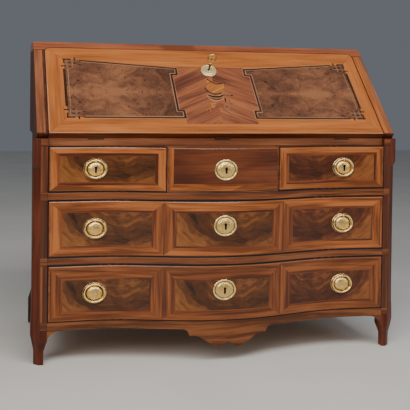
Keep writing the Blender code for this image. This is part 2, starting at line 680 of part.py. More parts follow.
def drawer(name, row, x0, x1, slide, bent):
    """A drawer's serpentine front, bent or cut from a flat-backed block, and its tray.

    The tray is the sides and back round the bottom, open at the top and towards the front.
    """
    low = ROW_BOTTOM_Z[row] + DRAWER_GAP / 2
    high = ROW_TOP_Z[row] - DRAWER_GAP / 2
    inset = TRAY_GAP - DRAWER_GAP
    rear = BACK_PANEL_FRONT - TRAY_REAR_SPACE
    if bent:
        face = serpentine_outline(x0, x1, 0.0, FRONT_THICKNESS)
        plan = straight_back_outline(x0 + inset, x1 - inset, FRONT_THICKNESS + GAP, rear)
    else:
        face = straight_back_outline(x0, x1, 0.0, BLOCK_BACK)
        start = BLOCK_BACK + GAP
        plan = [(x0 + inset, start), (x1 - inset, start), (x1 - inset, rear), (x0 + inset, rear)]
    to_slide = Matrix.Translation([-value for value in slide.location])
    front_mesh = prism_mesh([face], low, high)
    front_mesh.transform(to_slide)
    new_piece(name + "_front", front_mesh, BANDED_WALNUT, slide)
    tray_low = ROW_BOTTOM_Z[row] - DRAWER_GAP / 2 + GAP
    body = prism_mesh([plan], tray_low, high - TRAY_DROP)
    body.transform(to_slide)
    tray = new_piece(name + "_tray", body, PINE, slide)
    deep_front = FRONT_PLANE - FRONT_BOW * 2
    hollow = box_mesh((x0 + inset + TRAY_WALL, deep_front, tray_low + TRAY_BOTTOM),
                      (x1 - inset - TRAY_WALL, rear - TRAY_WALL, high + TRAY_DROP))
    hollow.transform(to_slide)
    combine(tray, hollow, "DIFFERENCE", slide)


def drawer_lock(name, row, x, slide, bent):
    """A lock case on the inside of a drawer front, under its top edge."""
    high = ROW_TOP_Z[row] - DRAWER_GAP / 2 - TRAY_DROP
    x0 = x - DRAWER_LOCK_HALF
    x1 = x + DRAWER_LOCK_HALF
    if bent:
        outline = serpentine_outline(x0, x1, FRONT_THICKNESS + GAP, DRAWER_LOCK_DEPTH)
    else:
        start = BLOCK_BACK + GAP
        end = start + DRAWER_LOCK_DEPTH
        outline = [(x0, start), (x1, start), (x1, end), (x0, end)]
    mesh = prism_mesh([outline], high - DRAWER_LOCK_HEIGHT, high)
    mesh.transform(Matrix.Translation([-value for value in slide.location]))
    new_piece(name, mesh, STEEL, slide)


def keyhole_mesh(y_front, y_back, x=0.0, z=0.0):
    """A keyhole cutter: a round hole with a slot below it."""
    slot = KEYHOLE_SLOT / 2
    meet = math.degrees(math.asin(slot / KEYHOLE_RADIUS))
    outline = arc((x, z), (KEYHOLE_RADIUS, KEYHOLE_RADIUS), -90 + meet, 270 - meet)
    outline += [(x - slot, z - KEYHOLE_DROP), (x + slot, z - KEYHOLE_DROP)]
    return elevation_mesh([outline], y_front, y_back)


def oval_plate_mesh(profile, x):
    """A turned plate drawn out to an oval, with its back fitted to the serpentine front at x."""
    mesh = turned_mesh(profile)
    stretch = Matrix.Diagonal((PLATE_WIDTH / PLATE_HEIGHT, 1.0, 1.0, 1.0))
    mesh.transform(Matrix.Rotation(math.pi / 2, 4, "X") @ stretch)
    for vertex in mesh.vertices:
        if vertex.co.y > -GAP:
            vertex.co.y += front_y(x + vertex.co.x) - front_y(x)
    return mesh


def escutcheon(name, x, z, parent, origin):
    """A domed oval plate with a keyhole and no ring."""
    radius = PLATE_HEIGHT / 2
    profile = scaled(ESCUTCHEON_DOME, radius, ESCUTCHEON_RISE) + scaled(ESCUTCHEON_RIM, radius, PLATE_RIM)
    mesh = oval_plate_mesh(profile, x)
    place = Matrix.Translation((x - origin[0], front_y(x) - GAP - origin[1], z - origin[2]))
    mesh.transform(place)
    piece = new_piece(name, mesh, BRASS, parent)
    hole = keyhole_mesh(-ESCUTCHEON_RISE * 2, KEYHOLE_DEPTH - ESCUTCHEON_RISE)
    hole.transform(place)
    combine(piece, hole, "DIFFERENCE", parent)
    smooth(piece)


def pull_plate(name, x, z, slide, keyhole):
    """A domed oval plate with the eye that carries its ring, and a keyhole where the drawer has no other."""
    radius = PLATE_HEIGHT / 2
    profile = scaled(PULL_DOME, radius, PLATE_RISE) + scaled(PULL_RIM, radius, PLATE_RIM)
    mesh = oval_plate_mesh(profile, x)
    origin = slide.location
    place = Matrix.Translation((x - origin[0], front_y(x) - GAP - origin[1], z - origin[2]))
    mesh.transform(place)
    piece = new_piece(name, mesh, BRASS, slide)
    eye = rod_mesh(EYE_RADIUS, -EYE_WIDTH / 2, EYE_WIDTH / 2, -RING_OFFSET, RING_DROP, ROUND_STEPS)
    eye.transform(place)
    combine(piece, eye, "UNION", slide)
    bore = rod_mesh(RING_RADIUS + RUNNING_GAP, -EYE_WIDTH, EYE_WIDTH, -RING_OFFSET, RING_DROP, ROUND_STEPS)
    bore.transform(place)
    combine(piece, bore, "DIFFERENCE", slide)
    if keyhole:
        hole = keyhole_mesh(-PLATE_RISE * 2, KEYHOLE_DEPTH - PLATE_RISE)
        hole.transform(place)
        combine(piece, hole, "DIFFERENCE", slide)
    smooth(piece)


def ring_pull(name, x, z, slide):
    """An oval ring that hangs from the eye, with its origin on the axis it swings about."""
    curve = bpy.data.curves.new(name, "CURVE")
    curve.dimensions = "3D"
    curve.bevel_depth = RING_RADIUS
    curve.bevel_resolution = 2
    spline = curve.splines.new("POLY")
    count = ROUND_STEPS + ARC_STEPS
    spline.points.add(count - 1)
    spline.use_cyclic_u = True
    across = RING_WIDTH / 2 - RING_RADIUS
    for i, point in enumerate(spline.points):
        angle = 2 * math.pi * i / count
        point.co = (across * math.sin(angle), 0.0, RING_DROP * (math.cos(angle) - 1.0), 1.0)
    piece = new_piece(name, mesh_of(bpy.data.objects.new(name, curve)), BRASS, slide)
    origin = slide.location
    piece.location = (x - origin[0], front_y(x) - GAP - RING_OFFSET - origin[1], z + RING_DROP - origin[2])
    smooth(piece)


def row_middle(row):
    """Height of the middle of a drawer row."""
    return (ROW_TOP_Z[row] + ROW_BOTTOM_Z[row]) / 2


def small_drawers():
    """The two small drawers beside the dummy front, and the dummy front with its plate."""
    z = row_middle(0)
    ends = (("left", -1, -OPENING_HALF, DUMMY_LEFT_X), ("right", 1, DUMMY_RIGHT_X, OPENING_HALF))
    for name, side, x0, x1 in ends:
        x0 += DRAWER_GAP
        x1 -= DRAWER_GAP
        slide = axis_empty("small_drawer_" + name + "_slide", ((x0 + x1) / 2, FRONT_PLANE, z))
        drawer("small_drawer_" + name, 0, x0, x1, slide, False)
        drawer_lock("small_drawer_" + name + "_lock", 0, side * PULL_X, slide, False)
        pull_plate("small_drawer_" + name + "_plate", side * PULL_X, z, slide, True)
        ring_pull("small_drawer_" + name + "_ring", side * PULL_X, z, slide)
    low = ROW_BOTTOM_Z[0] - DRAWER_GAP / 2 + GAP
    face = straight_back_outline(DUMMY_LEFT_X, DUMMY_RIGHT_X, 0.0, BLOCK_BACK)
    new_piece("dummy_front", prism_mesh([face], low, BED_UNDERSIDE - GAP), BANDED_WALNUT)
    escutcheon("dummy_escutcheon", KEYHOLE_X, z, None, (0.0, 0.0, 0.0))


def long_drawers():
    """The two long drawers, each with a keyhole plate between two ring pulls."""
    half = OPENING_HALF - DRAWER_GAP
    for name, row in (("middle_drawer", 1), ("bottom_drawer", 2)):
        z = row_middle(row)
        slide = axis_empty(name + "_slide", (0.0, FRONT_PLANE, z))
        drawer(name, row, -half, half, slide, True)
        drawer_lock(name + "_lock", row, KEYHOLE_X, slide, True)
        escutcheon(name + "_escutcheon", KEYHOLE_X, z + ESCUTCHEON_LIFT, slide, slide.location)
        for end, side in (("left", -1), ("right", 1)):
            pull_plate(name + "_plate_" + end, side * PULL_X, z, slide, False)
            ring_pull(name + "_ring_" + end, side * PULL_X, z, slide)


def hinge_seat(end_gap):
    """A cutter for one hinge's barrel, in the hinge line's frame."""
    half = HINGE_LENGTH / 2 + end_gap
    return rod_mesh(BARREL_RADIUS + RUNNING_GAP * 1.5, -half, half)


def carcass_hinge(name, x, rail_top):
    """The leaf let into the top rail, with the middle knuckle and the pin."""
    place = Matrix.Translation((x, HINGE_Y, WRITING_HEIGHT))
    half = HINGE_LENGTH / 2
    start = BARREL_RADIUS + RUNNING_GAP * 2
    leaf = box_mesh((-half, start, -LEAF_THICKNESS), (half, LEAF_DEPTH, 0.0))
    leaf.transform(place)
    piece = new_piece("hinge_" + name + "_carcass", leaf, BRASS)
    knuckle = KNUCKLE_LENGTH / 2
    tongue = box_mesh((-knuckle, 0.0, -LEAF_THICKNESS * 0.9), (knuckle, start * 2, -LEAF_THICKNESS * 0.1))
    for tool in (tongue, rod_mesh(BARREL_RADIUS, -knuckle, knuckle), rod_mesh(PIN_RADIUS, -half, half)):
        tool.transform(place)
        combine(piece, tool, "UNION")
    pocket = box_mesh((-half - GAP, -LEAF_DEPTH, -LEAF_THICKNESS - GAP),
                      (half + GAP, LEAF_DEPTH + GAP, LEAF_DEPTH))
    seat = hinge_seat(GAP)
    for tool in (pocket, seat):
        tool.transform(place)
        combine(rail_top, tool, "DIFFERENCE")


def fall_hinge_leaf(name, x, fall_axis, fall_panel):
    """The leaf let into the fall's inner face, with the two outer knuckles."""
    place = Matrix.Translation((x, 0.0, 0.0))
    half = HINGE_LENGTH / 2
    start = BARREL_RADIUS + RUNNING_GAP * 2
    leaf = box_mesh((-half, start, GAP), (half, LEAF_DEPTH, LEAF_THICKNESS))
    leaf.transform(place)
    piece = new_piece("hinge_" + name + "_fall", leaf, BRASS, fall_axis)
    inner = KNUCKLE_LENGTH / 2 + RUNNING_GAP
    low = LEAF_THICKNESS * 0.25
    high = LEAF_THICKNESS * 0.9
    for x0, x1 in ((-half, -inner), (inner, half)):
        for tool in (box_mesh((x0, 0.0, low), (x1, start * 2, high)), rod_mesh(BARREL_RADIUS, x0, x1)):
            tool.transform(place)
            combine(piece, tool, "UNION", fall_axis)
    bore = rod_mesh(PIN_RADIUS + RUNNING_GAP, -half * 2, half * 2)
    bore.transform(place)
    combine(piece, bore, "DIFFERENCE", fall_axis)
    pocket = box_mesh((-half - GAP, -LEAF_DEPTH, -LEAF_DEPTH),
                      (half + GAP, LEAF_DEPTH + GAP, LEAF_THICKNESS + GAP))
    seat = hinge_seat(GAP)
    for tool in (pocket, seat):
        tool.transform(place)
        combine(fall_panel, tool, "DIFFERENCE", fall_axis)


def fall_lock(fall_axis, fall_panel):
    """The lock case let into the fall's inner face, open towards the face, with a slot for its bolt."""
    low = LOCK_S - LOCK_BELOW
    high = LOCK_S + LOCK_ABOVE
    case = new_piece("fall_lock", box_mesh((-LOCK_HALF_WIDTH, low, 0.0), (LOCK_HALF_WIDTH, high, LOCK_DEPTH)),
                     STEEL, fall_axis)
    hollow = box_mesh((LOCK_WALL - LOCK_HALF_WIDTH, low + LOCK_WALL, LOCK_WALL),
                      (LOCK_HALF_WIDTH - LOCK_WALL, high - LOCK_WALL, LOCK_DEPTH * 2))
    combine(case, hollow, "DIFFERENCE", fall_axis)
    channel_half = BOLT_HALF_WIDTH + RUNNING_GAP
    channel_low = BOLT_DEPTH - RUNNING_GAP
    channel_high = BOLT_DEPTH + BOLT_THICKNESS + RUNNING_GAP
    slot = box_mesh((-channel_half, high - LOCK_WALL * 2, channel_low),
                    (channel_half, high + LOCK_WALL, channel_high))
    combine(case, slot, "DIFFERENCE", fall_axis)
    pocket = box_mesh((-LOCK_HALF_WIDTH - GAP, low - GAP, -LOCK_DEPTH),
                      (LOCK_HALF_WIDTH + GAP, high + GAP, LOCK_DEPTH + GAP))
    combine(fall_panel, pocket, "DIFFERENCE", fall_axis)
    channel = box_mesh((-channel_half, high - LOCK_WALL, channel_low),
                       (channel_half, FALL_LENGTH * 2, channel_high))
    combine(fall_panel, channel, "DIFFERENCE", fall_axis)


def fall_bolt(fall_axis, top):
    """The lock's long bolt, drawn back at rest, and its mortise in the lip of the top."""
    start = LOCK_S + BOLT_START
    bolt_axis = axis_empty("fall_bolt_slide", (0.0, LOCK_S, BOLT_DEPTH + BOLT_THICKNESS / 2))
    bolt_axis.parent = fall_axis
    mesh = box_mesh((-BOLT_HALF_WIDTH, start - LOCK_S, -BOLT_THICKNESS / 2),
                    (BOLT_HALF_WIDTH, FALL_LENGTH - GAP - LOCK_S, BOLT_THICKNESS / 2))
    new_piece("fall_bolt", mesh, STEEL, bolt_axis)
    room = RUNNING_GAP * 2
    half = BOLT_HALF_WIDTH + room
    mortise = box_mesh((-half, FALL_LENGTH - BOLT_THROW, BOLT_DEPTH - room),
                       (half, FALL_END + BOLT_THROW + room, BOLT_DEPTH + BOLT_THICKNESS + room))
    combine(top, mortise, "DIFFERENCE", fall_axis)


def fall_key(fall_axis, fall_panel):
    """The key in the fall's lock: bow, stem and bit, on the axis that it turns about."""
    key_axis = axis_empty("fall_key_turn", (0.0, LOCK_S, FALL_THICKNESS))
    key_axis.parent = fall_axis
    tip = -FALL_THICKNESS + LOCK_WALL + RUNNING_GAP * 2
    bow_centre = KEY_STEM + KEY_BOW_LENGTH / 2
    key = new_piece("fall_key", pillar_mesh(KEY_RADIUS, tip, KEY_STEM + KEY_BOW_WIRE), BRASS, key_axis)
    curve = bpy.data.curves.new("bow", "CURVE")
    curve.dimensions = "3D"
    curve.bevel_depth = KEY_BOW_WIRE
    curve.bevel_resolution = 2
    spline = curve.splines.new("POLY")
    spline.points.add(ROUND_STEPS - 1)
    spline.use_cyclic_u = True
    across = KEY_BOW_WIDTH / 2 - KEY_BOW_WIRE
    along = KEY_BOW_LENGTH / 2 - KEY_BOW_WIRE
    for i, point in enumerate(spline.points):
        angle = 2 * math.pi * i / ROUND_STEPS
        point.co = (across * math.sin(angle), 0.0, bow_centre - along * math.cos(angle), 1.0)
    combine(key, mesh_of(bpy.data.objects.new("bow", curve)), "UNION", key_axis)
    bit = box_mesh((-KEY_BIT_THICKNESS / 2, -KEY_BIT_REACH, tip),
                   (KEY_BIT_THICKNESS / 2, 0.0, tip + KEY_BIT_LENGTH))
    combine(key, bit, "UNION", key_axis)
    smooth(key)
    bore = pillar_mesh(KEY_RADIUS + RUNNING_GAP, 0.0, FALL_THICKNESS * 2, 0.0, LOCK_S)
    combine(fall_panel, bore, "DIFFERENCE", fall_axis)
    plate = turned_mesh(scaled(FALL_PLATE, FALL_PLATE_RADIUS, FALL_PLATE_RISE))
    plate.transform(Matrix.Translation((0.0, LOCK_S, FALL_THICKNESS + GAP)))
    plate_piece = new_piece("fall_escutcheon", plate, BRASS, fall_axis)
    hole = pillar_mesh(KEY_RADIUS + RUNNING_GAP, 0.0, FALL_THICKNESS * 2, 0.0, LOCK_S)
    combine(plate_piece, hole, "DIFFERENCE", fall_axis)
    smooth(plate_piece)


def fall(fall_axis, rail_top, top):
    """The fall with its hinges, lock, bolt and key, all carried by the hinge line."""
    board = prism_mesh([fall_outline(0.0)], 0.0, FALL_THICKNESS)
    panel = new_piece("fall_panel", board, FALL_VENEER, fall_axis)
    for name, x in zip(HINGE_NAMES, HINGE_X):
        carcass_hinge(name, x, rail_top)
        fall_hinge_leaf(name, x, fall_axis, panel)
    fall_lock(fall_axis, panel)
    fall_bolt(fall_axis, top)
    fall_key(fall_axis, panel)


def clear_scene():
    """Empties the scene and links the two collections."""
    for item in list(bpy.data.objects):
        bpy.data.objects.remove(item)
    bpy.context.scene.collection.children.link(parts)
    bpy.context.scene.collection.children.link(cutters)


def build_bureau():
    """Builds every piece of the bureau."""
    clear_scene()
    for side, name in ((-1, "left"), (1, "right")):
        front_post(side, "front_post_" + name)
        back_post(side, "back_post_" + name)
        side_board(side, "side_" + name)
    fall_axis = axis_empty("fall_hinge", (0.0, HINGE_Y, WRITING_HEIGHT), (FALL_ANGLE, 0.0, 0.0))
    top = top_board(fall_axis)
    rail_top = boards()
    apron()
    gradin()
    small_drawers()
    long_drawers()
    fall(fall_axis, rail_top, top)


build_bureau()
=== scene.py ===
"""Dresses the slant-front bureau: veneers, inlay, brass, floor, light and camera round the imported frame.

Metres, +Z up, the front faces -Y. Sizes of the carcass and its fittings repeat the part's own values.
"""

import math
import random

import bmesh
import bpy
from mathutils import Matrix, Vector


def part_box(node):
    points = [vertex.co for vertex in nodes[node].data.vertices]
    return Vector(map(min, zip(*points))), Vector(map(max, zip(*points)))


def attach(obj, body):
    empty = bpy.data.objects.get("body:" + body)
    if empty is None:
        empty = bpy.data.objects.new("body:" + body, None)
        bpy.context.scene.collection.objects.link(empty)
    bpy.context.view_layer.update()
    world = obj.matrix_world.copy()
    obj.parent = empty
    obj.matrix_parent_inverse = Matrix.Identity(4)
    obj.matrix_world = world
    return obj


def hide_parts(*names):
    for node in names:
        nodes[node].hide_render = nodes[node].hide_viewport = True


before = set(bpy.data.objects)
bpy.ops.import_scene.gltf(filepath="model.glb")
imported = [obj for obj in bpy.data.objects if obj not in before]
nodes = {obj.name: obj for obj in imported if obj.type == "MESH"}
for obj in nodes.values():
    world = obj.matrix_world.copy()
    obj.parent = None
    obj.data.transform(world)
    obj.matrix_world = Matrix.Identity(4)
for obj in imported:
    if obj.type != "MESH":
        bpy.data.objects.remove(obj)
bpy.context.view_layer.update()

# The serpentine front
OPENING_HALF = 0.561
FRONT_PLANE = -0.2293
FRONT_BOW = 0.0621
FLANK_HOLLOW = 0.0169
SHOULDER_HOLLOW = 0.0049
FRONT_STEP = 0.010           # longest straight run of a veneer that is bent to the front
BENDS = math.ceil(2 * OPENING_HALF / FRONT_STEP)
FRONT_STATIONS = [-OPENING_HALF + 2 * OPENING_HALF * i / BENDS for i in range(1, BENDS)]

# Drawer rows
ROW_TOP = (0.6846, 0.5157, 0.3128)
ROW_BOTTOM = (0.5418, 0.3377, 0.1352)
JOINT_HALF = 0.0006
SIDE_GAP = 0.0012
DUMMY_LEFT = -0.1925
DUMMY_RIGHT = 0.1730
KEYHOLE_X = (DUMMY_LEFT + DUMMY_RIGHT) / 2

# The fall
HINGE_Y = -0.2132
BED_Z = 0.7086
FALL_ANGLE = math.radians(45.327)
FALL_HALF = 0.5602
FALL_LENGTH = 0.3940
FALL_THICKNESS = 0.022
FALL_CORNER = 0.020
LOCK_S = 0.2919              # the keyhole, up the slope

# Apron
APRON_TOP = 0.1346
APRON_EDGE = 0.1097
BRACKET_SPAN = 0.0490
BRACKET_FOOT = 0.0750
DROP_X = 0.0075              # middle of the shaped drop
STEP_X = 0.1474
STEP_RADIUS = 0.0205
STEP_LAND = 0.014
LOBE_X = 0.0318
LOBE_Z = 0.0533
POINT_Z = 0.0685
LOBE_RISE = 0.0085
LOBE_CURL = 0.0183

# Veneer heights above the carcass
SKIN = 0.0024                # face of a drawer, with its eased edge
LEAF = 0.0026                # banding and fields laid in that face
FALL_LEAF = 0.00010          # veneers of the fall, which lands on the dummy front
FALL_STEP = 0.00004
INNER_LEAF = 0.0002          # banding inside the fall
THIN = 0.0006                # faces of the rails
PAPER = 0.0003               # faces of the apron, the stiles and the slopes
STEP_UP = 0.0001             # a string over the veneer that it is let into
SUNK = -0.0003               # underside of a veneer, below the surface that carries it
EDGE_INSET = 0.0030          # a drawer face stops short of the edge; a painted shade line covers the joint left there
FALL_INSET = 0.0024
EASE = (0.0026, 0.0014)      # eased edge of a drawer face: width and drop
THIN_EASE = (0.0006, 0.0004)
RIM = EDGE_INSET + EASE[0]


def front_y(x):
    """The serpentine front: Y at x, level beyond the drawer ends."""
    turn = math.pi * min(abs(x) / OPENING_HALF, 1.0)
    bow = FRONT_BOW * (1 + math.cos(turn)) / 2
    hollow = FLANK_HOLLOW * (1 - math.cos(2 * turn)) / 2
    shoulder = SHOULDER_HOLLOW * (math.cos(3 * turn) - math.cos(turn)) / 2
    return FRONT_PLANE - bow + hollow + shoulder


def on_front(x, z, proud):
    """A point of the serpentine front."""
    return Vector((x, front_y(x) - proud, z))


def on_fall(x, s, proud):
    """A point of the fall's outer face, s up the slope."""
    height = FALL_THICKNESS + proud
    y = HINGE_Y + s * math.cos(FALL_ANGLE) - height * math.sin(FALL_ANGLE)
    z = BED_Z + s * math.sin(FALL_ANGLE) + height * math.cos(FALL_ANGLE)
    return Vector((x, y, z))


def inside_fall(x, s, proud):
    """A point of the fall's inner face."""
    return on_fall(x, s, -FALL_THICKNESS - proud)


def as_drawn(*place):
    """A point that stays where it is drawn."""
    return place


def arc(centre, radii, start, end, steps=10):
    """Points along an elliptical arc, in degrees."""
    points = []
    for i in range(steps + 1):
        angle = math.radians(start + (end - start) * i / steps)
        points.append((centre[0] + radii[0] * math.cos(angle), centre[1] + radii[1] * math.sin(angle)))
    return points


# Materials

FIBRE_DEPTH = 0.0006
FIBRE_ROUGHNESS = (-0.07, 0.10)       # change of roughness over the range of the fibres
VARNISH_SHINE = 0.22
COAT_ROUGHNESS = 0.09
STAIN_TONE = -0.22                    # how far a stain darkens the wood
STAIN_CORE = 0.4                      # share of its reach that is darkest
DOME_PATINA = 0.34                    # groove value on the hammered dome of a plate
CHASING = 0.30                        # tone of the fine marks on that dome, up and down
HAMMER_DEPTH = 0.0028
BRASS_ROUGHNESS = (-0.05, 0.30)       # change of roughness from bright to dull brass
PIT_DEPTH = 0.0006


def add(tree, kind, links=None, **settings):
    """A shader node with its settings, and its inputs linked or given."""
    made = tree.nodes.new(kind)
    for key, value in settings.items():
        setattr(made, key, value)
    for socket, source in (links or {}).items():
        if isinstance(source, bpy.types.NodeSocket):
            tree.links.new(source, made.inputs[socket])
        else:
            made.inputs[socket].default_value = source
    return made


def ramp(tree, source, stops):
    """Colours along a value, from (position, colour) stops."""
    made = add(tree, "ShaderNodeValToRGB", {"Fac": source})
    elements = made.color_ramp.elements
    while len(elements) < len(stops):
        elements.new(0.5)
    for element, (position, colour) in zip(elements, stops):
        element.position = position
        element.color = (*colour, 1.0)
    return made.outputs["Color"]


def blank(name):
    """A material with a Principled shader, and its tree."""
    material = bpy.data.materials.new(name)
    material.use_nodes = True
    tree = material.node_tree
    return material, tree, tree.nodes["Principled BSDF"]


def object_space(tree):
    """The piece's own coordinates."""
    return add(tree, "ShaderNodeTexCoord").outputs["Object"]


def pattern_space(tree, grain):
    """Coordinates with the grain along X: a piece's own grain map, or Object space turned to an axis."""
    if grain == "map":
        return add(tree, "ShaderNodeUVMap", uv_map="grain").outputs["UV"]
    turns = {"x": (0.0, 0.0, 0.0), "y": (0.0, 0.0, math.pi / 2), "z": (0.0, math.pi / 2, 0.0)}
    links = {"Vector": object_space(tree), "Rotation": turns[grain]}
    return add(tree, "ShaderNodeMapping", links).outputs["Vector"]


def stretched(tree, space, along, across):
    """The pattern space scaled along and across the grain."""
    links = {"Vector": space, "Scale": (along, across, across)}
    return add(tree, "ShaderNodeMapping", links).outputs["Vector"]


def noise(tree, space, scale, detail, distortion=0.0, roughness=0.5):
    """A noise value."""
    links = {"Vector": space, "Scale": scale, "Detail": detail, "Distortion": distortion,
             "Roughness": roughness}
    return add(tree, "ShaderNodeTexNoise", links).outputs["Fac"]


def math_node(tree, operation, first, second):
    """A sum, product or the like of two values."""
    return add(tree, "ShaderNodeMath", {0: first, 1: second}, operation=operation).outputs["Value"]


def weighted(tree, parts):
    """The sum of values, each times its weight."""
    total = None
    for value, weight in parts:
        share = math_node(tree, "MULTIPLY", value, weight)
        total = share if total is None else math_node(tree, "ADD", total, share)
    return total


def fade(tree, value, low, high, start, end):
    """A value that goes from start to end while another goes from low to high."""
    links = {"Value": value, "From Min": low, "From Max": high, "To Min": start, "To Max": end}
    return add(tree, "ShaderNodeMapRange", links).outputs["Result"]


def tones(tree, value, colours, middle, spread):
    """Dark, middle and light colours round the middle of a value."""
    return ramp(tree, value, list(zip((middle - spread, middle, middle + spread), colours)))


def wavered(tree, space, scale, detail, reach):
    """The pattern space bent by a slow noise, and that noise."""
    slow = add(tree, "ShaderNodeTexNoise", {"Vector": space, "Scale": scale, "Detail": detail})
    links = {0: slow.outputs["Color"], 1: (reach,) * 3, 2: (-reach / 2,) * 3}
    shift = add(tree, "ShaderNodeVectorMath", links, operation="MULTIPLY_ADD")
    bent = add(tree, "ShaderNodeVectorMath", {0: space, 1: shift.outputs["Vector"]}, operation="ADD")
    return bent.outputs["Vector"], slow.outputs["Fac"]


def bumped(tree, shader, height, strength, depth):
    """Relief that follows a value."""
    bump = add(tree, "ShaderNodeBump", {"Height": height, "Strength": strength, "Distance": depth})
    tree.links.new(bump.outputs["Normal"], shader.inputs["Normal"])


def roughened(tree, shader, value, rough, changes):
    """Roughness that follows a value."""
    rougher = fade(tree, value, 0.0, 1.0, rough + changes[0], rough + changes[1])
    tree.links.new(rougher, shader.inputs["Roughness"])


def varnish(tree, shader, fibres, height, rough, coat):
    """Relief and roughness that follow the fibres, and a clear coat."""
    bumped(tree, shader, fibres, height, FIBRE_DEPTH)
    roughened(tree, shader, fibres, rough, FIBRE_ROUGHNESS)
    shader.inputs["Specular IOR Level"].default_value = VARNISH_SHINE
    shader.inputs["Coat Weight"].default_value = coat
    shader.inputs["Coat Roughness"].default_value = COAT_ROUGHNESS


def straight_wood(name, grain, colours, streak=16.0, wave=0.012, contrast=0.115, rough=0.34, coat=0.20,
                  height=0.10, stain=None):
    """Straight-grained wood: broad streaks, flecks, fine fibres, a slow drift and a stain."""
    material, tree, shader = blank(name)
    bent, drift = wavered(tree, pattern_space(tree, grain), scale=3.5, detail=2.0, reach=wave)
    broad = stretched(tree, bent, along=1.3, across=streak)
    streaks = noise(tree, broad, scale=2.2, detail=4.0, distortion=0.4)
    flecks = noise(tree, stretched(tree, bent, along=7.0, across=150.0), scale=1.0, detail=3.0)
    fibres = noise(tree, stretched(tree, bent, along=14.0, across=420.0), scale=1.0, detail=3.0)
    tone = weighted(tree, [(streaks, 0.52), (flecks, 0.26), (fibres, 0.10), (drift, 0.16)])
    if stain:
        place, reach = stain
        away = add(tree, "ShaderNodeVectorMath", {0: bent, 1: place}, operation="DISTANCE").outputs["Value"]
        darker = fade(tree, away, low=STAIN_CORE * reach, high=reach, start=STAIN_TONE, end=0.0)
        tone = math_node(tree, "ADD", tone, darker)
    tree.links.new(tones(tree, tone, colours, middle=0.52, spread=contrast), shader.inputs["Base Color"])
    varnish(tree, shader, fibres, height, rough, coat)
    return material


def burr_wood(name, colours, rough=0.32, coat=0.30):
    """Burr: swirling clouds in patches, small dark eyes, and a lighter streak along the match."""
    material, tree, shader = blank(name)
    space = pattern_space(tree, "map")
    bent, swirl = wavered(tree, space, scale=9.0, detail=3.0, reach=0.11)
    drawn_out = stretched(tree, bent, along=0.75, across=1.25)
    clouds = noise(tree, drawn_out, scale=13.0, detail=6.0, distortion=1.4, roughness=0.62)
    curls = noise(tree, bent, scale=95.0, detail=6.0, distortion=2.0, roughness=0.60)
    fibres = noise(tree, stretched(tree, bent, along=60.0, across=300.0), scale=1.0, detail=2.0)
    patches = noise(tree, space, scale=5.0, detail=2.0, distortion=0.8)
    cells = add(tree, "ShaderNodeTexVoronoi", {"Vector": bent, "Scale": 46.0}, feature="F1")
    across = add(tree, "ShaderNodeSeparateXYZ", {"Vector": space}).outputs["Y"]
    from_match = math_node(tree, "ABSOLUTE", across, 0.0)
    eyes = fade(tree, cells.outputs["Distance"], low=0.0, high=0.22, start=-0.18, end=0.0)
    match = fade(tree, from_match, low=0.0, high=0.024, start=0.07, end=0.0)
    tone = weighted(tree, [(clouds, 0.46), (curls, 0.30), (fibres, 0.10), (patches, 0.38), (swirl, 0.10),
                           (eyes, 1.0), (match, 1.0)])
    tree.links.new(tones(tree, tone, colours, middle=0.65, spread=0.15), shader.inputs["Base Color"])
    varnish(tree, shader, fibres, 0.08, rough, coat)
    return material


def flame_wood(name, colours, rough=0.30, coat=0.22):
    """Figured walnut: rings that sag across a field from the map's origin, golden outside the darkest."""
    material, tree, shader = blank(name)
    bent, drift = wavered(tree, pattern_space(tree, "map"), scale=8.0, detail=3.0, reach=0.075)
    wide = stretched(tree, bent, along=0.8, across=1.0)
    ring = add(tree, "ShaderNodeVectorMath", {0: wide}, operation="LENGTH").outputs["Value"]
    sides = add(tree, "ShaderNodeSeparateXYZ", {"Vector": wide}).outputs
    turn = math_node(tree, "ARCTAN2", sides["Y"], sides["X"])

    def on_rings(across, along=0.0):
        """Coordinates that follow the rings."""
        return add(tree, "ShaderNodeCombineXYZ", {"X": across, "Y": along}).outputs["Vector"]
    slid = on_rings(ring, math_node(tree, "MULTIPLY", turn, 0.030))
    fine = on_rings(math_node(tree, "MULTIPLY", ring, 420.0))
    bands = noise(tree, on_rings(ring), scale=34.0, detail=5.0, roughness=0.65)
    clouds = noise(tree, bent, scale=11.0, detail=3.0, distortion=0.6)
    blots = noise(tree, bent, scale=38.0, detail=5.0, distortion=1.4)
    streaks = noise(tree, slid, scale=105.0, detail=5.0, distortion=0.5, roughness=0.62)
    fibres = noise(tree, fine, scale=1.0, detail=2.0)
    golden = fade(tree, ring, low=0.160, high=0.190, start=0.0, end=0.17)
    darkest = fade(tree, ring, low=0.110, high=0.160, start=0.0, end=-0.07)
    tone = weighted(tree, [(bands, 0.28), (clouds, 0.28), (blots, 0.10), (streaks, 0.34), (fibres, 0.10),
                           (drift, 0.08), (golden, 1.0), (darkest, 1.0)])
    tree.links.new(tones(tree, tone, colours, middle=0.58, spread=0.15), shader.inputs["Base Color"])
    varnish(tree, shader, fibres, 0.06, rough, coat)
    return material


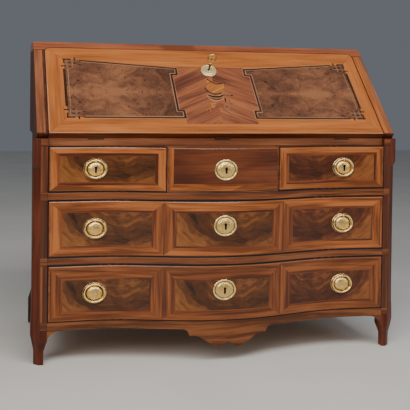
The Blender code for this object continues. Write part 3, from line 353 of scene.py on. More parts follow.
def cast_brass(name, colours, rough):
    """Lacquered brass: duller by the piece's groove map, a little patina, and hammered on a dome."""
    material, tree, shader = blank(name)
    space = object_space(tree)
    dents = noise(tree, space, scale=160.0, detail=3.0)
    patina = noise(tree, space, scale=60.0, detail=4.0)
    marks = noise(tree, space, scale=330.0, detail=2.0, distortion=1.6)
    grooves = add(tree, "ShaderNodeAttribute", attribute_name="groove").outputs["Fac"]
    on_dome = fade(tree, grooves, low=0.0, high=DOME_PATINA, start=0.04, end=0.6)
    no_groove = fade(tree, grooves, low=DOME_PATINA + 0.02, high=0.5, start=1.0, end=0.05)
    hammered = math_node(tree, "MULTIPLY", on_dome, no_groove)
    chased = fade(tree, marks, low=0.35, high=0.65, start=-CHASING, end=CHASING)
    tone = weighted(tree, [(patina, 0.30), (grooves, 0.85)])
    tone = math_node(tree, "ADD", tone, math_node(tree, "MULTIPLY", chased, hammered))
    pale, golden, dull = colours
    colour = ramp(tree, tone, [(0.17, pale), (0.48, golden), (0.84, dull)])
    tree.links.new(colour, shader.inputs["Base Color"])
    bumped(tree, shader, dents, hammered, HAMMER_DEPTH)
    roughened(tree, shader, tone, rough, BRASS_ROUGHNESS)
    shader.inputs["Metallic"].default_value = 1.0
    return material


def mottled(name, scale, detail, stops, rough):
    """A material with patches of colour, its tree, its shader and the noise that makes the patches."""
    material, tree, shader = blank(name)
    patches = noise(tree, object_space(tree), scale, detail)
    tree.links.new(ramp(tree, patches, stops), shader.inputs["Base Color"])
    shader.inputs["Roughness"].default_value = rough
    return material, tree, shader, patches


def worn_iron(name):
    """Dull iron with rust in its pits."""
    stops = [(0.35, RUST), (0.5, DARK_IRON), (0.7, PALE_IRON)]
    material, tree, shader, pits = mottled(name, scale=180.0, detail=4.0, stops=stops, rough=0.5)
    bumped(tree, shader, pits, 0.3, PIT_DEPTH)
    shader.inputs["Metallic"].default_value = 0.85
    return material


def hole_shade(name):
    """Near-black painted shade for the inside of a keyhole."""
    stops = [(0.3, HOLE_BLACK), (0.7, HOLE_BROWN)]
    material, _, shader, _ = mottled(name, scale=200.0, detail=2.0, stops=stops, rough=0.9)
    shader.inputs["Specular IOR Level"].default_value = 0.05
    return material


# Dark, middle and light tone of each wood
DARK_RED = ((0.042, 0.008, 0.003), (0.088, 0.017, 0.006), (0.150, 0.032, 0.011))
SIDE_BROWN = ((0.040, 0.010, 0.004), (0.080, 0.019, 0.007), (0.125, 0.034, 0.012))
BACK_BROWN = ((0.022, 0.008, 0.004), (0.044, 0.015, 0.007), (0.070, 0.025, 0.011))
RAIL_BROWN = ((0.075, 0.023, 0.009), (0.152, 0.048, 0.016), (0.235, 0.077, 0.026))
APRON_BROWN = ((0.072, 0.021, 0.007), (0.132, 0.041, 0.012), (0.205, 0.066, 0.021))
LIT_TOP_RAIL_BROWN = ((0.100, 0.031, 0.014), (0.200, 0.066, 0.027), (0.300, 0.105, 0.044))
BED_BROWN = ((0.060, 0.018, 0.007), (0.122, 0.038, 0.013), (0.190, 0.062, 0.021))
INNER_ORANGE = ((0.110, 0.033, 0.011), (0.215, 0.068, 0.020), (0.315, 0.108, 0.034))
STILE_BROWN = ((0.076, 0.021, 0.008), (0.142, 0.042, 0.014), (0.215, 0.067, 0.022))
STILE_DARK = ((0.042, 0.012, 0.006), (0.082, 0.024, 0.011), (0.130, 0.040, 0.018))
TOP_RED = ((0.165, 0.044, 0.019), (0.290, 0.082, 0.034), (0.400, 0.125, 0.052))
STRIP_RED = ((0.130, 0.041, 0.018), (0.228, 0.076, 0.032), (0.315, 0.115, 0.049))
ORANGE = ((0.135, 0.035, 0.008), (0.270, 0.076, 0.017), (0.395, 0.124, 0.031))
SHADED_ORANGE = ((0.075, 0.019, 0.005), (0.168, 0.045, 0.011), (0.275, 0.080, 0.020))
SECTION_BROWN = ((0.075, 0.019, 0.006), (0.165, 0.045, 0.012), (0.270, 0.078, 0.020))
GOLDEN = ((0.230, 0.062, 0.014), (0.395, 0.118, 0.026), (0.515, 0.172, 0.044))
CHEVRON = ((0.100, 0.030, 0.017), (0.228, 0.071, 0.031), (0.350, 0.114, 0.043))
BURR = ((0.034, 0.014, 0.008), (0.120, 0.047, 0.024), (0.265, 0.106, 0.047))
FLAME = ((0.022, 0.007, 0.002), (0.098, 0.031, 0.008), (0.265, 0.092, 0.022))
SHADED_FLAME = ((0.024, 0.006, 0.002), (0.085, 0.022, 0.007), (0.240, 0.078, 0.020))
LINE_RED = ((0.060, 0.013, 0.005), (0.128, 0.030, 0.009), (0.200, 0.056, 0.016))
DULL_RED = ((0.058, 0.014, 0.005), (0.108, 0.027, 0.010), (0.165, 0.046, 0.016))
SHADED_EDGE = ((0.057, 0.013, 0.005), (0.120, 0.028, 0.009), (0.200, 0.050, 0.015))
EDGE_BROWN = ((0.040, 0.013, 0.006), (0.075, 0.026, 0.011), (0.115, 0.042, 0.018))
EBONY = ((0.006, 0.004, 0.003), (0.012, 0.007, 0.005), (0.024, 0.013, 0.008))
STRING_BROWN = ((0.022, 0.008, 0.003), (0.042, 0.014, 0.005), (0.070, 0.024, 0.008))
LIGHT_INLAY = ((0.300, 0.150, 0.066), (0.430, 0.225, 0.105), (0.540, 0.310, 0.160))
URN_GOLD = ((0.150, 0.044, 0.012), (0.330, 0.110, 0.024), (0.520, 0.200, 0.050))
BOXWOOD = ((0.165, 0.090, 0.046), (0.265, 0.150, 0.082), (0.370, 0.225, 0.130))
PINE = ((0.280, 0.145, 0.060), (0.410, 0.225, 0.100), (0.510, 0.310, 0.155))
BACK_PINE = ((0.150, 0.075, 0.034), (0.250, 0.132, 0.062), (0.340, 0.190, 0.092))

# Pale, golden and dull tone of each brass, and the tones of iron and of a keyhole's painted shade
BRIGHT_BRASS = ((1.0, 0.76, 0.36), (0.86, 0.54, 0.16), (0.03, 0.014, 0.005))
SOFT_BRASS = ((1.0, 0.80, 0.44), (0.80, 0.56, 0.22), (0.05, 0.03, 0.012))
BROWN_BRASS = ((0.10, 0.06, 0.03), (0.06, 0.036, 0.018), (0.03, 0.018, 0.009))
RUST = (0.10, 0.055, 0.035)
DARK_IRON = (0.20, 0.19, 0.18)
PALE_IRON = (0.32, 0.31, 0.30)
HOLE_BLACK = (0.002, 0.0015, 0.001)
HOLE_BROWN = (0.006, 0.004, 0.003)
TOP_STAIN = ((-0.09, 0.056, 1.013), 0.07)     # middle and reach of a dark stain on the front of the top

post_wood = straight_wood("post walnut", "z", DARK_RED, rough=0.44, coat=0.04)
back_post_wood = straight_wood("back post walnut", "z", BACK_BROWN, rough=0.6, coat=0.0)
side_wood = straight_wood("side walnut", "z", SIDE_BROWN, streak=9.0, rough=0.5, coat=0.0)
rail_wood = straight_wood("rail walnut", "x", RAIL_BROWN, contrast=0.085)
top_wood = straight_wood("top walnut", "x", TOP_RED, streak=12.0, contrast=0.145, stain=TOP_STAIN)
lit_top_rail_wood = straight_wood("lit top rail walnut", "x", LIT_TOP_RAIL_BROWN)
inside_wood = straight_wood("inside walnut", "x", RAIL_BROWN)
bed_wood = straight_wood("writing bed walnut", "x", BED_BROWN, streak=11.0, wave=0.030)
inner_drawer_wood = straight_wood("inner drawer walnut", "x", INNER_ORANGE, streak=27.0)
shaded_fall_edge_wood = straight_wood("shaded fall edge", "x", SHADED_EDGE, streak=14.0)
joint_wood = straight_wood("drawer edge", "x", EDGE_BROWN, rough=0.6, coat=0.0)
pine_wood = straight_wood("drawer pine", "y", PINE, streak=10.0, rough=0.62, coat=0.0, height=0.2)
board_pine = straight_wood("board pine", "x", PINE, streak=10.0, rough=0.62, coat=0.0, height=0.2)
back_pine = straight_wood("back pine", "z", BACK_PINE, streak=11.0, rough=0.7, coat=0.0, height=0.25)
apron_wood = straight_wood("apron veneer", "map", APRON_BROWN, streak=20.0, wave=0.03, contrast=0.060,
                           coat=0.10)
band_wood = straight_wood("orange banding", "map", ORANGE, streak=26.0, contrast=0.070)
shaded_band_wood = straight_wood("shaded orange banding", "map", SHADED_ORANGE, streak=26.0, contrast=0.080)
section_wood = straight_wood("brown banding", "map", SECTION_BROWN, streak=26.0, contrast=0.080)
edge_wood = straight_wood("polished edge", "map", ORANGE, streak=22.0, rough=0.28, coat=0.30)
golden_wood = straight_wood("golden border", "map", GOLDEN, streak=14.0, contrast=0.150, rough=0.38)
chevron_wood = straight_wood("chevron veneer", "map", CHEVRON, streak=10.0, contrast=0.085, rough=0.36)
line_wood = straight_wood("red line", "map", LINE_RED, streak=34.0, contrast=0.075)
stile_wood = straight_wood("stile veneer", "map", STILE_BROWN, streak=28.0, contrast=0.070, coat=0.12)
dark_stile_wood = straight_wood("dark stile veneer", "map", STILE_DARK, streak=24.0, coat=0.06)
dull_wood = straight_wood("dull red veneer", "map", DULL_RED, streak=7.0, rough=0.30, coat=0.3)
strip_wood = straight_wood("reddish strip", "map", STRIP_RED, streak=20.0)
ebony = straight_wood("black string", "map", EBONY, streak=40.0)
brown_string = straight_wood("brown string", "map", STRING_BROWN, streak=40.0)
boxwood = straight_wood("light string", "map", BOXWOOD, streak=40.0)
light_inlay = straight_wood("light inlay", "map", LIGHT_INLAY, streak=40.0)
urn_wood = straight_wood("golden inlay", "map", URN_GOLD, streak=44.0)
burr = burr_wood("burr panel", BURR)
flame = flame_wood("figured field", FLAME)
shaded_flame = flame_wood("shaded figured field", SHADED_FLAME)
brass = cast_brass("lacquered brass", BRIGHT_BRASS, rough=0.23)
satin_brass = cast_brass("satin brass", SOFT_BRASS, rough=0.50)
hinge_brass = cast_brass("hinge brass", BROWN_BRASS, rough=0.5)
iron = worn_iron("worn iron")
keyhole_shade = hole_shade("keyhole shade")

# Making pieces

UPRIGHT = math.pi / 2        # angle of grain that runs up
CUT_REACH = 1e-7
WELD_REACH = 1e-6
LEVEL_FACE = 0.9             # least Z of the normal of a face that lies level
STEEP_FACE = 0.5             # greatest Z of the normal of a face that stands up
VENEER_EDGE = 18             # degrees from which an edge is kept hard
GRAIN_SHIFT = (1.0, 9.0)     # how far apart frames and strings are cut from the pattern
STRING_SHIFT = (0.0, 5.0)
GRAIN_SEED = 7


def made_object(shape, name, material):
    """A bmesh as an object with a material."""
    mesh = bpy.data.meshes.new(name)
    shape.to_mesh(mesh)
    shape.free()
    mesh.materials.append(material)
    item = bpy.data.objects.new(name, mesh)
    bpy.context.scene.collection.objects.link(item)
    return item


def keep(shape, name, material, body):
    """A bmesh as a finished piece that rides on a body."""
    piece = made_object(shape, name, material)
    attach(piece, body)
    return piece


def smooth(piece, angle):
    """Shades a piece smooth, with its hard edges kept."""
    piece.data.shade_smooth()
    piece.data.set_sharp_from_angle(angle=math.radians(angle))


def face_out(shape):
    """Turns all faces of a shape outwards."""
    bmesh.ops.recalc_face_normals(shape, faces=shape.faces[:])


def put(shape, place):
    """Moves every point of a shape to its place on the part."""
    for vertex in shape.verts:
        vertex.co = place(*vertex.co)
    face_out(shape)


def join(whole, part):
    """Adds one bmesh to another, and frees it."""
    mesh = bpy.data.meshes.new("joined")
    part.to_mesh(mesh)
    part.free()
    whole.from_mesh(mesh)
    bpy.data.meshes.remove(mesh)


def flat(outline, height):
    """One level face."""
    shape = bmesh.new()
    shape.faces.new([shape.verts.new((u, v, height)) for u, v in outline])
    return shape


def raise_up(shape, height):
    """Thickens level faces upwards into a solid."""
    raised = bmesh.ops.extrude_face_region(shape, geom=shape.faces[:])["geom"]
    top = [item for item in raised if isinstance(item, bmesh.types.BMVert)]
    bmesh.ops.translate(shape, verts=top, vec=(0.0, 0.0, height))
    face_out(shape)


def cut_across(leaf, place, normal):
    """Cuts every face of a leaf along a plane."""
    everything = leaf.verts[:] + leaf.edges[:] + leaf.faces[:]
    bmesh.ops.bisect_plane(leaf, geom=everything, dist=CUT_REACH, plane_co=place, plane_no=normal)


def ease_edge(leaf, middle, edge):
    """Slopes the rim of a leaf's upper face: width and drop of the slope."""
    width, drop = edge
    leaf.normal_update()
    upper = [f for f in leaf.faces if f.normal.z > LEVEL_FACE]
    bmesh.ops.inset_region(leaf, faces=upper, thickness=width, use_even_offset=True, use_boundary=True)
    leaf.normal_update()
    rim = {v for f in leaf.faces if abs(f.normal.z) < STEEP_FACE for v in f.verts if v.co.z > middle}
    bmesh.ops.translate(leaf, verts=list(rim), vec=(0.0, 0.0, -drop))


def panel(outline, angle=0.0, origin=(0.0, 0.0), mirror=False):
    """What a leaf is sawn from: outline, angle and origin of the grain, and if it is matched about that."""
    return outline, angle, origin, mirror


def leaf_of(sawn, heights, stations=(), edge=None):
    """One leaf of veneer, flat: a panel cut at the stations and raised, with its grain map."""
    outline, angle, origin, mirror = sawn
    low, high = heights
    leaf = flat(outline, low)
    if mirror:
        cut_across(leaf, (0.0, origin[1], 0.0), (0.0, 1.0, 0.0))
    left = min(u for u, _ in outline)
    right = max(u for u, _ in outline)
    for station in stations:
        if left < station < right:
            cut_across(leaf, (station, 0.0, 0.0), (1.0, 0.0, 0.0))
    raise_up(leaf, high - low)
    if edge:
        ease_edge(leaf, (low + high) / 2, edge)
    layer = leaf.loops.layers.uv.new("grain")
    for face in leaf.faces:
        for loop in face.loops:
            u = loop.vert.co.x - origin[0]
            v = loop.vert.co.y - origin[1]
            if mirror:
                v = abs(v)
            along = u * math.cos(angle) + v * math.sin(angle)
            across = v * math.cos(angle) - u * math.sin(angle)
            loop[layer].uv = (along, across)
    return leaf


def inlay(name, panels, place, heights, material, body, stations=(), edge=None):
    """Veneers or strings in one piece, laid where place(u, v, height) says."""
    sheet = bmesh.new()
    for sawn in panels:
        join(sheet, leaf_of(sawn, heights, stations, edge))
    put(sheet, place)
    smooth(keep(sheet, name, material, body), VENEER_EDGE)


def rectangle(x0, z0, x1, z1):
    """An upright rectangle's outline."""
    return [(x0, z0), (x1, z0), (x1, z1), (x0, z1)]


def mirrored(points):
    """An outline turned over to the other side, still anticlockwise."""
    return [(-x, s) for x, s in reversed(points)]


def inset_box(box, margin):
    """A rectangle that much smaller all round."""
    x0, z0, x1, z1 = box
    return x0 + margin, z0 + margin, x1 - margin, z1 - margin


def mitred_frame(outer, inner):
    """The four mitred members between two rectangles, with the grain along each: low, high, left, right."""
    x0, z0, x1, z1 = outer
    a0, b0, a1, b1 = inner
    level = [[(x0, z0), (x1, z0), (a1, b0), (a0, b0)], [(a0, b1), (a1, b1), (x1, z1), (x0, z1)]]
    upright = [[(x0, z0), (a0, b0), (a0, b1), (x0, z1)], [(a1, b0), (x1, z0), (x1, z1), (a1, b1)]]
    shift = random.uniform(*GRAIN_SHIFT)
    panels = [panel(outline, 0.0, (shift, shift + i)) for i, outline in enumerate(level)]
    panels += [panel(outline, UPRIGHT, (shift, shift + i)) for i, outline in enumerate(upright)]
    return panels


def strings(lines, width):
    """Panels for straight strings between points, each with grain of its own."""
    panels = []
    for start, end in lines:
        a, b = Vector(start), Vector(end)
        run = b - a
        side = Vector((-run.y, run.x)).normalized() * (width / 2)
        outline = [tuple(corner) for corner in (a - side, b - side, b + side, a + side)]
        panels.append(panel(outline, math.atan2(run.y, run.x), (random.uniform(*STRING_SHIFT), 0.0)))
    return panels


random.seed(GRAIN_SEED)

# Drawer faces

LEFT_END = -OPENING_HALF + SIDE_GAP
RIGHT_END = OPENING_HALF - SIDE_GAP
SMALL_BANDS = (0.021, 0.020, 0.021)           # banding above, below and beside a field
MIDDLE_BANDS = (0.032, 0.028, 0.032)
BOTTOM_BANDS = (0.040, 0.028, 0.034)
SMALL_LINE = 0.010                            # line round a field
LONG_LINE = 0.006
MIDDLE_JOINTS = (-0.2007, 0.1905)             # where the sections of a long drawer meet
BOTTOM_JOINTS = (-0.204, 0.184)
SECTION_STRING = 0.0026
FACES = {                                     # row, ends, section joints, banding, line
    "small_drawer_left": (0, LEFT_END, DUMMY_LEFT - SIDE_GAP, (), SMALL_BANDS, SMALL_LINE),
    "small_drawer_right": (0, DUMMY_RIGHT + SIDE_GAP, RIGHT_END, (), SMALL_BANDS, SMALL_LINE),
    "middle_drawer": (1, LEFT_END, RIGHT_END, MIDDLE_JOINTS, MIDDLE_BANDS, LONG_LINE),
    "bottom_drawer": (2, LEFT_END, RIGHT_END, BOTTOM_JOINTS, BOTTOM_BANDS, LONG_LINE),
}
# The bottom row's banding is a darker orange: painted shade, darker towards the bottom.
BAND_OF_ROW = (band_wood, band_wood, shaded_band_wood)
FIGURE_RISE = (0.100, 0.072, 0.060)           # middle of the rings above a field, row by row
FIGURE_LEAN = 0.05
SHADED_FROM = OPENING_HALF / 4                  # fields right of here are darker: painted shade on the side away from the key light


def row_box(row, x0, x1):
    """The front of a drawer or of the dummy, inside its joints."""
    return x0, ROW_BOTTOM[row] + JOINT_HALF, x1, ROW_TOP[row] - JOINT_HALF


def veneer(name, panels, body, material):
    """Veneers laid in the face of a drawer or of the dummy."""
    inlay(name, panels, on_front, (SUNK, LEAF), material, body, FRONT_STATIONS)


def raised_face(name, box, body, material):
    """The face of a drawer or of the dummy: a slab with eased edges, short of the joints."""
    slab = [panel(rectangle(*inset_box(box, EDGE_INSET)), 0.0, (0.0, 3.0))]
    inlay(name + "_face", slab, on_front, (SUNK, SKIN), material, body, FRONT_STATIONS,
          EASE)


def painted_joint_shade(name, box, width, body):
    """A dark line round a face: painted shade of the gap at the joint."""
    lines = mitred_frame(box, inset_box(box, width))
    inlay(name + "_joint_line", lines, on_front, (SUNK, STEP_UP), ebony, body,
          FRONT_STATIONS)


def drawer_face(name, row, x0, x1, joints, bands, line):
    """Mitred banding in sections, a dark red line inside it, and figured fields."""
    box = row_box(row, x0, x1)
    _, low, _, high = box
    raised_face(name, box, name, edge_wood)
    ends = [x0 + RIM, *joints, x1 - RIM]
    above, below, beside = bands
    banding, section_ends, lines, fields, shaded_fields = [], [], [], [], []
    for i, (left, right) in enumerate(zip(ends, ends[1:])):
        outer = (left, low + RIM, right, high - RIM)
        inner = (left + beside, low + below, right - beside, high - above)
        field = inset_box(inner, line)
        members = mitred_frame(outer, inner)
        banding += members[:2]
        (section_ends if i > 0 else banding).append(members[2])
        (section_ends if i < len(joints) else banding).append(members[3])
        lines += mitred_frame(inner, field)
        middle = (field[0] + field[2]) / 2
        lean = FIGURE_LEAN if middle < SHADED_FROM else -FIGURE_LEAN
        figure = panel(rectangle(*field), 0.0, (middle + lean, field[3] + FIGURE_RISE[row]))
        (shaded_fields if middle > SHADED_FROM else fields).append(figure)
    painted_joint_shade(name, box, EDGE_INSET, name)
    pieces = [("banding", banding, BAND_OF_ROW[row]), ("section_banding", section_ends, section_wood),
              ("line", lines, line_wood), ("field", fields, flame),
              ("shaded_field", shaded_fields, shaded_flame)]
    for part, panels, material in pieces:
        if panels:
            veneer(name + "_" + part, panels, name, material)
    if joints:
        cuts = strings([((x, low + RIM), (x, high - RIM)) for x in joints], SECTION_STRING)
        inlay(name + "_section_string", cuts, on_front, (SUNK, LEAF + STEP_UP), line_wood, name)


DUMMY_BAND = 0.019           # orange banding at the left of the dummy front
DUMMY_LOW_BAND = 0.026
DUMMY_SCARF = 0.060          # the lower banding turns brown right of here
SCARF_LENGTH = 0.050


def dummy_face():
    """The fixed front: a dull red field with banding at its left and below, brown at the right."""
    box = row_box(0, DUMMY_LEFT, DUMMY_RIGHT)
    raised_face("dummy_front", box, "carcass", stile_wood)
    left, base, right, crown = inset_box(box, RIM)
    inner = (DUMMY_LEFT + DUMMY_BAND, box[1] + DUMMY_LOW_BAND)
    scarf = [(DUMMY_SCARF - SCARF_LENGTH, base), (DUMMY_SCARF, inner[1])]
    upright = [(left, base), inner, (inner[0], crown), (left, crown)]
    level = [(left, base), *scarf, inner]
    brown = [scarf[0], (right, base), (right, inner[1]), scarf[1]]
    field = rectangle(*inner, right, crown)
    orange = [panel(upright, UPRIGHT, (0.0, 2.0)), panel(level, 0.0, (1.0, 0.0))]
    pieces = [("banding", orange, band_wood),
              ("brown_banding", [panel(brown, 0.0, (1.0, 4.0))], section_wood),
              ("field", [panel(field, 0.0, (0.0, 5.0))], dull_wood)]
    for part, panels, material in pieces:
        veneer("dummy_front_" + part, panels, "carcass", material)


for face_name, face in FACES.items():
    drawer_face(face_name, *face)
dummy_face()

# Rails, apron and corner posts

POST_GAP = 0.0003            # faces of the rails and the apron stay clear of the posts
FACE_END = OPENING_HALF - POST_GAP
STILE_IN = 0.5615            # face of a corner post: an inner strip, and an outer one up to the cant
STILE_SPLIT = 0.5755
STILE_OUT = 0.5830
STILE_HIGH = BED_Z - 0.001
STILE_LOW = 0.111
STILE_BOUNDS = [STILE_HIGH, ROW_TOP[0], ROW_BOTTOM[0], ROW_TOP[1], ROW_BOTTOM[1], ROW_TOP[2], ROW_BOTTOM[2],
                STILE_LOW]
STILE_SHIFTS = (0.7, 0.9)    # how far apart the strips of a stile are cut from the pattern
STILE_JOINT = 0.0012
BRACKET_JOINT_END = 0.510
RAIL_MARGIN = JOINT_HALF + 0.0018
RAIL_SHIFT = 9               # how far apart the rails are cut from the pattern
FOOT_IN = 0.5700             # straight block of a front foot, in plan
FOOT_OUT = 0.6005
FOOT_FRONT = -0.2173
FOOT_BACK = -0.1913
FOOT_CANT = 0.0153
COLLAR = (0.0408, 0.0426)
COLLAR_PROUD = 0.0005


def ogee(start, end, steps=20):
    """Points along a double curve that is level at both ends."""
    points = []
    for i in range(steps + 1):
        share = i / steps
        sweep = (1 - math.cos(math.pi * share)) / 2
        points.append((start[0] + (end[0] - start[0]) * share, start[1] + (end[1] - start[1]) * sweep))
    return points


def apron_outline():
    """The apron's face, from the upper left corner round."""
    rise = APRON_EDGE - BRACKET_FOOT
    bracket = arc((FACE_END - BRACKET_SPAN, BRACKET_FOOT), (BRACKET_SPAN, rise), 0, 90)
    land = (STEP_X - STEP_RADIUS - STEP_LAND, APRON_EDGE - STEP_RADIUS)
    drop = arc((STEP_X, land[1]), (STEP_RADIUS, STEP_RADIUS), 90, 180) + ogee(land, (LOBE_X, LOBE_Z))
    drop += arc((LOBE_X, LOBE_Z + LOBE_RISE), (LOBE_CURL, LOBE_RISE), -90, -160)[1:]
    right = bracket + [(DROP_X + x, z) for x, z in drop]
    left = [(DROP_X - x, z) for x, z in reversed(drop)] + [(-x, z) for x, z in reversed(bracket)]
    outline = [(FACE_END, APRON_TOP)] + right + [(DROP_X, POINT_Z)] + left + [(-FACE_END, APRON_TOP)]
    return list(reversed(outline))


def carcass_inlay(name, panels, high, material, stations=(), edge=None):
    """Thin veneers on the rails, the apron and the posts."""
    inlay(name, panels, on_front, (SUNK, high), material, "carcass", stations, edge)


def rail_faces():
    """Veneered faces of the rails, with painted joint shade round them, and of the apron."""
    for name, low, high in (("rail_upper", ROW_TOP[1], ROW_BOTTOM[0]),
                            ("rail_lower", ROW_TOP[2], ROW_BOTTOM[1])):
        face = rectangle(-FACE_END, low + RAIL_MARGIN, FACE_END, high - RAIL_MARGIN)
        panels = [panel(face, 0.0, (0.0, RAIL_SHIFT * low))]
        carcass_inlay(name + "_face", panels, THIN, stile_wood, FRONT_STATIONS, THIN_EASE)
        box = (-FACE_END, low + JOINT_HALF, FACE_END, high - JOINT_HALF)
        painted_joint_shade(name, box, RAIL_MARGIN, "carcass")
    apron = [panel(apron_outline(), 0.0, (0.0, 2.0))]
    carcass_inlay("apron_face", apron, PAPER, apron_wood, FRONT_STATIONS)


def upright_strip(x_one, x_two, low, high):
    """An upright rectangle's outline, whichever side comes first."""
    return rectangle(min(x_one, x_two), low, max(x_one, x_two), high)


def stiles():
    """Upright strips on the corner posts beside the drawers, level ones at the rails, and their joints."""
    dark, light, levels, joints = [], [], [], []
    for side in (-1, 1):
        inner, split, outer = (side * x for x in (STILE_IN, STILE_SPLIT, STILE_OUT))
        for i, (high, low) in enumerate(zip(STILE_BOUNDS, STILE_BOUNDS[1:])):
            joints.append(((inner, low), (outer, low)))
            shifts = [(i * shift, side) for shift in STILE_SHIFTS]
            # Inner strips take the dark veneer, partly as painted shade beside the drawer joints; the right
            # post's outer strips take it too, as painted shade on the side away from the key light.
            if i % 2:
                dark.append(panel(upright_strip(inner, split, low, high), UPRIGHT, shifts[0]))
                outer_strips = light if side < 0 else dark
                outer_strips.append(panel(upright_strip(split, outer, low, high), UPRIGHT, shifts[1]))
            else:
                levels.append(panel(upright_strip(inner, outer, low, high), 0.0, shifts[0]))
        joints.append(((outer, APRON_EDGE), (side * BRACKET_JOINT_END, APRON_EDGE)))
    carcass_inlay("stile_dark", dark, PAPER, dark_stile_wood)
    carcass_inlay("stile_light", light, PAPER, stile_wood)
    carcass_inlay("stile_rail_ends", levels, PAPER, stile_wood)
    carcass_inlay("stile_joints", strings(joints, STILE_JOINT), PAPER + 2 * STEP_UP, ebony, FRONT_STATIONS)


def foot_collars():
    """A dark line round the straight block of each front foot."""
    front, back = FOOT_FRONT - COLLAR_PROUD, FOOT_BACK + COLLAR_PROUD
    inner, outer = FOOT_IN - COLLAR_PROUD, FOOT_OUT + COLLAR_PROUD
    canted = [(outer - FOOT_CANT, front), (outer, front + FOOT_CANT)]
    right = [(inner, front), *canted, (outer, back), (inner, back)]
    panels = [panel(outline) for outline in (mirrored(right), right)]
    inlay("foot_collars", panels, as_drawn, COLLAR, dark_stile_wood, "carcass")


rail_faces()
stiles()
foot_collars()

# Marquetry of the fall: x from its middle, s up the slope

MID_X = 0.006                # that middle, a little right of the lid's
PANEL_OUT = 0.5043           # the dark line round a burr panel
PANEL_LOW = 0.0690
PANEL_HIGH = 0.3362
PANEL_IN_HIGH = 0.3012
HORN_X = 0.1212              # inner end of a panel, above and below its notch
NOTCH_X = 0.1408
NOTCH_LOW = 0.1014
NOTCH_HIGH = 0.2705
LOWER_SIDE = 0               # sides of a panel, counted along its outline
UPPER_SIDE = 6
FIELD_LOW = 0.0440           # the striped field between the panels
FIELD_HIGH = 0.3080
STRIPE_LEAN = math.radians(29)
BURR_SHIFT = 2.0             # how far off the panels are cut from the burr's pattern
BAR_LOW = 0.117              # broad bar at the outer end of a panel
BAR_HIGH = 0.290
BAR_WIDTH = 0.0085
BAR_LIGHT_INSIDE = 0.012
BAR_LIGHT_OUTSIDE = 0.010
DARK_WIDTH = 0.0050
LIGHT_WIDTH = 0.0028
LIGHT_INSIDE = 0.0054
LIGHT_OUTSIDE = -0.0046
FINE_WIDTH = 0.0016
MITRE_WIDTH = 0.0008
SHARPEST_MITRE = 0.3         # limits how far the corner of a moved outline runs out
CORNER_STEPS = 12
ARRIS = 0.0022               # pale strip on the lid's edge: painted highlight of the arris
STRIP_LOW = 0.004            # strips on the slopes of the sides
STRIP_HIGH = 0.380
STRIP_IN = 0.5690
STRIP_OUT = 0.5957
GOLD_STRIP_IN = 0.5625
GOLD_STRIP_OUT = 0.578
INNER_BAND_OUT = (-0.548, 0.032, 0.548, 0.374)
INNER_BAND_IN = (-0.508, 0.066, 0.508, 0.357)

# Strapwork in the outer corners of a panel, measured from the corner
KNOT = 0.052                 # length of a panel's side that it takes
KNOT_STRAPS = [((-0.0030, 0.0), (0.0240, 0.0)), ((0.0005, -0.0025), (0.0005, 0.0190)),
               ((0.0370, -0.0080), (0.0370, 0.0062)), ((-0.0110, 0.0330), (0.0070, 0.0330))]
KNOT_DOTS = [(0.0195, 0.0165), (0.0370, 0.0188), (0.0200, 0.0350), (0.0537, 0.0250)]
DOT_HALF = 0.0032
KNOT_LIGHTS = (0.0085, 0.0265)
LIGHT_START = -0.004
LIGHT_ALONG = 0.044
LIGHT_ACROSS = 0.038
LIGHT_SHIFT = 0.002          # the lights across stand a little further out

# Urn with its flourish; an arc has a middle, radii, a start and an end in degrees, and steps
URN_BODY = ((0.0030, 0.2225), (0.0330, 0.0400), 200, 350, 12)
URN_RIM = [(0.0361, 0.2225), (0.0346, 0.2336), (0.0248, 0.2297), (0.0080, 0.2269), (-0.0063, 0.2377),
           (-0.0193, 0.2511)]
URN_GRAIN = 0.6
URN_SHADE = ((0.0, 0.2130), (0.0340, 0.0340), 189, 310)
URN_FOOT = [(-0.0390, 0.1290), (-0.0330, 0.1140), (-0.0160, 0.1140), (-0.0100, 0.1290)]
URN_SMILE = [(-0.0253, 0.1320), (-0.0069, 0.1370), (0.0145, 0.1470)]
FOOT_STREAKS = [((-0.0400, 0.1120), (-0.0440, 0.0990)), ((-0.0310, 0.1120), (-0.0320, 0.0990))]
BOWL_BELOW = ((-0.0010, 0.1790), (0.0270, 0.0265), 180, 360, 14)
BOWL_ABOVE = ((-0.0010, 0.1800), (0.0270, 0.0055), 0, -180)
BOWL_GLINTS = [((-0.0005, 0.1835), (0.0255, 0.0115), 185, 355),
               ((-0.0015, 0.1715), (0.0250, 0.0115), 190, 350),
               ((-0.0040, 0.1750), (0.0280, 0.0285), 180, 330)]
BLOBS = [((0.0380, 0.2330), (0.0410, 0.2330)), ((0.0515, 0.1725), (0.0575, 0.1745)),
         ((0.0280, 0.1610), (0.0280, 0.1440))]
HIGH_TWIG = [(0.0278, 0.1784), (0.0376, 0.1737), (0.0484, 0.1739), (0.0574, 0.1789)]
LOW_TWIG = [(0.0393, 0.1545), (0.0405, 0.1426), (0.0476, 0.1332), (0.0570, 0.1405)]
TAIL = [(0.0113, 0.1100), (0.0427, 0.0810)]
TWIG_LIGHT = 0.0025          # the light beside a twig, right of it and above
FLOURISH_RING = ((0.0275, 0.1210), (0.0095, 0.0100), 0, 324, 9)
DASHES = [((0.0380, 0.2108), (0.0630, 0.2108)), ((0.0865, 0.2170), (0.0915, 0.2170))]
SMILE_WIDTH = 0.0060
STREAK_WIDTH = 0.0030
SHADE_WIDTH = 0.0042
BLOB_WIDTH = 0.0056
GLINT_WIDTH = 0.0024
TWIG_WIDTH = 0.0020


def on_lid(x, s, proud):
    """A point of the marquetry."""
    return on_fall(x + MID_X, s, proud)


def lay(name, panels, step, material):
    """Veneers or strings of the marquetry, some steps above the lid's face."""
    inlay(name, panels, on_lid, (SUNK, FALL_LEAF + step * FALL_STEP), material, "fall")


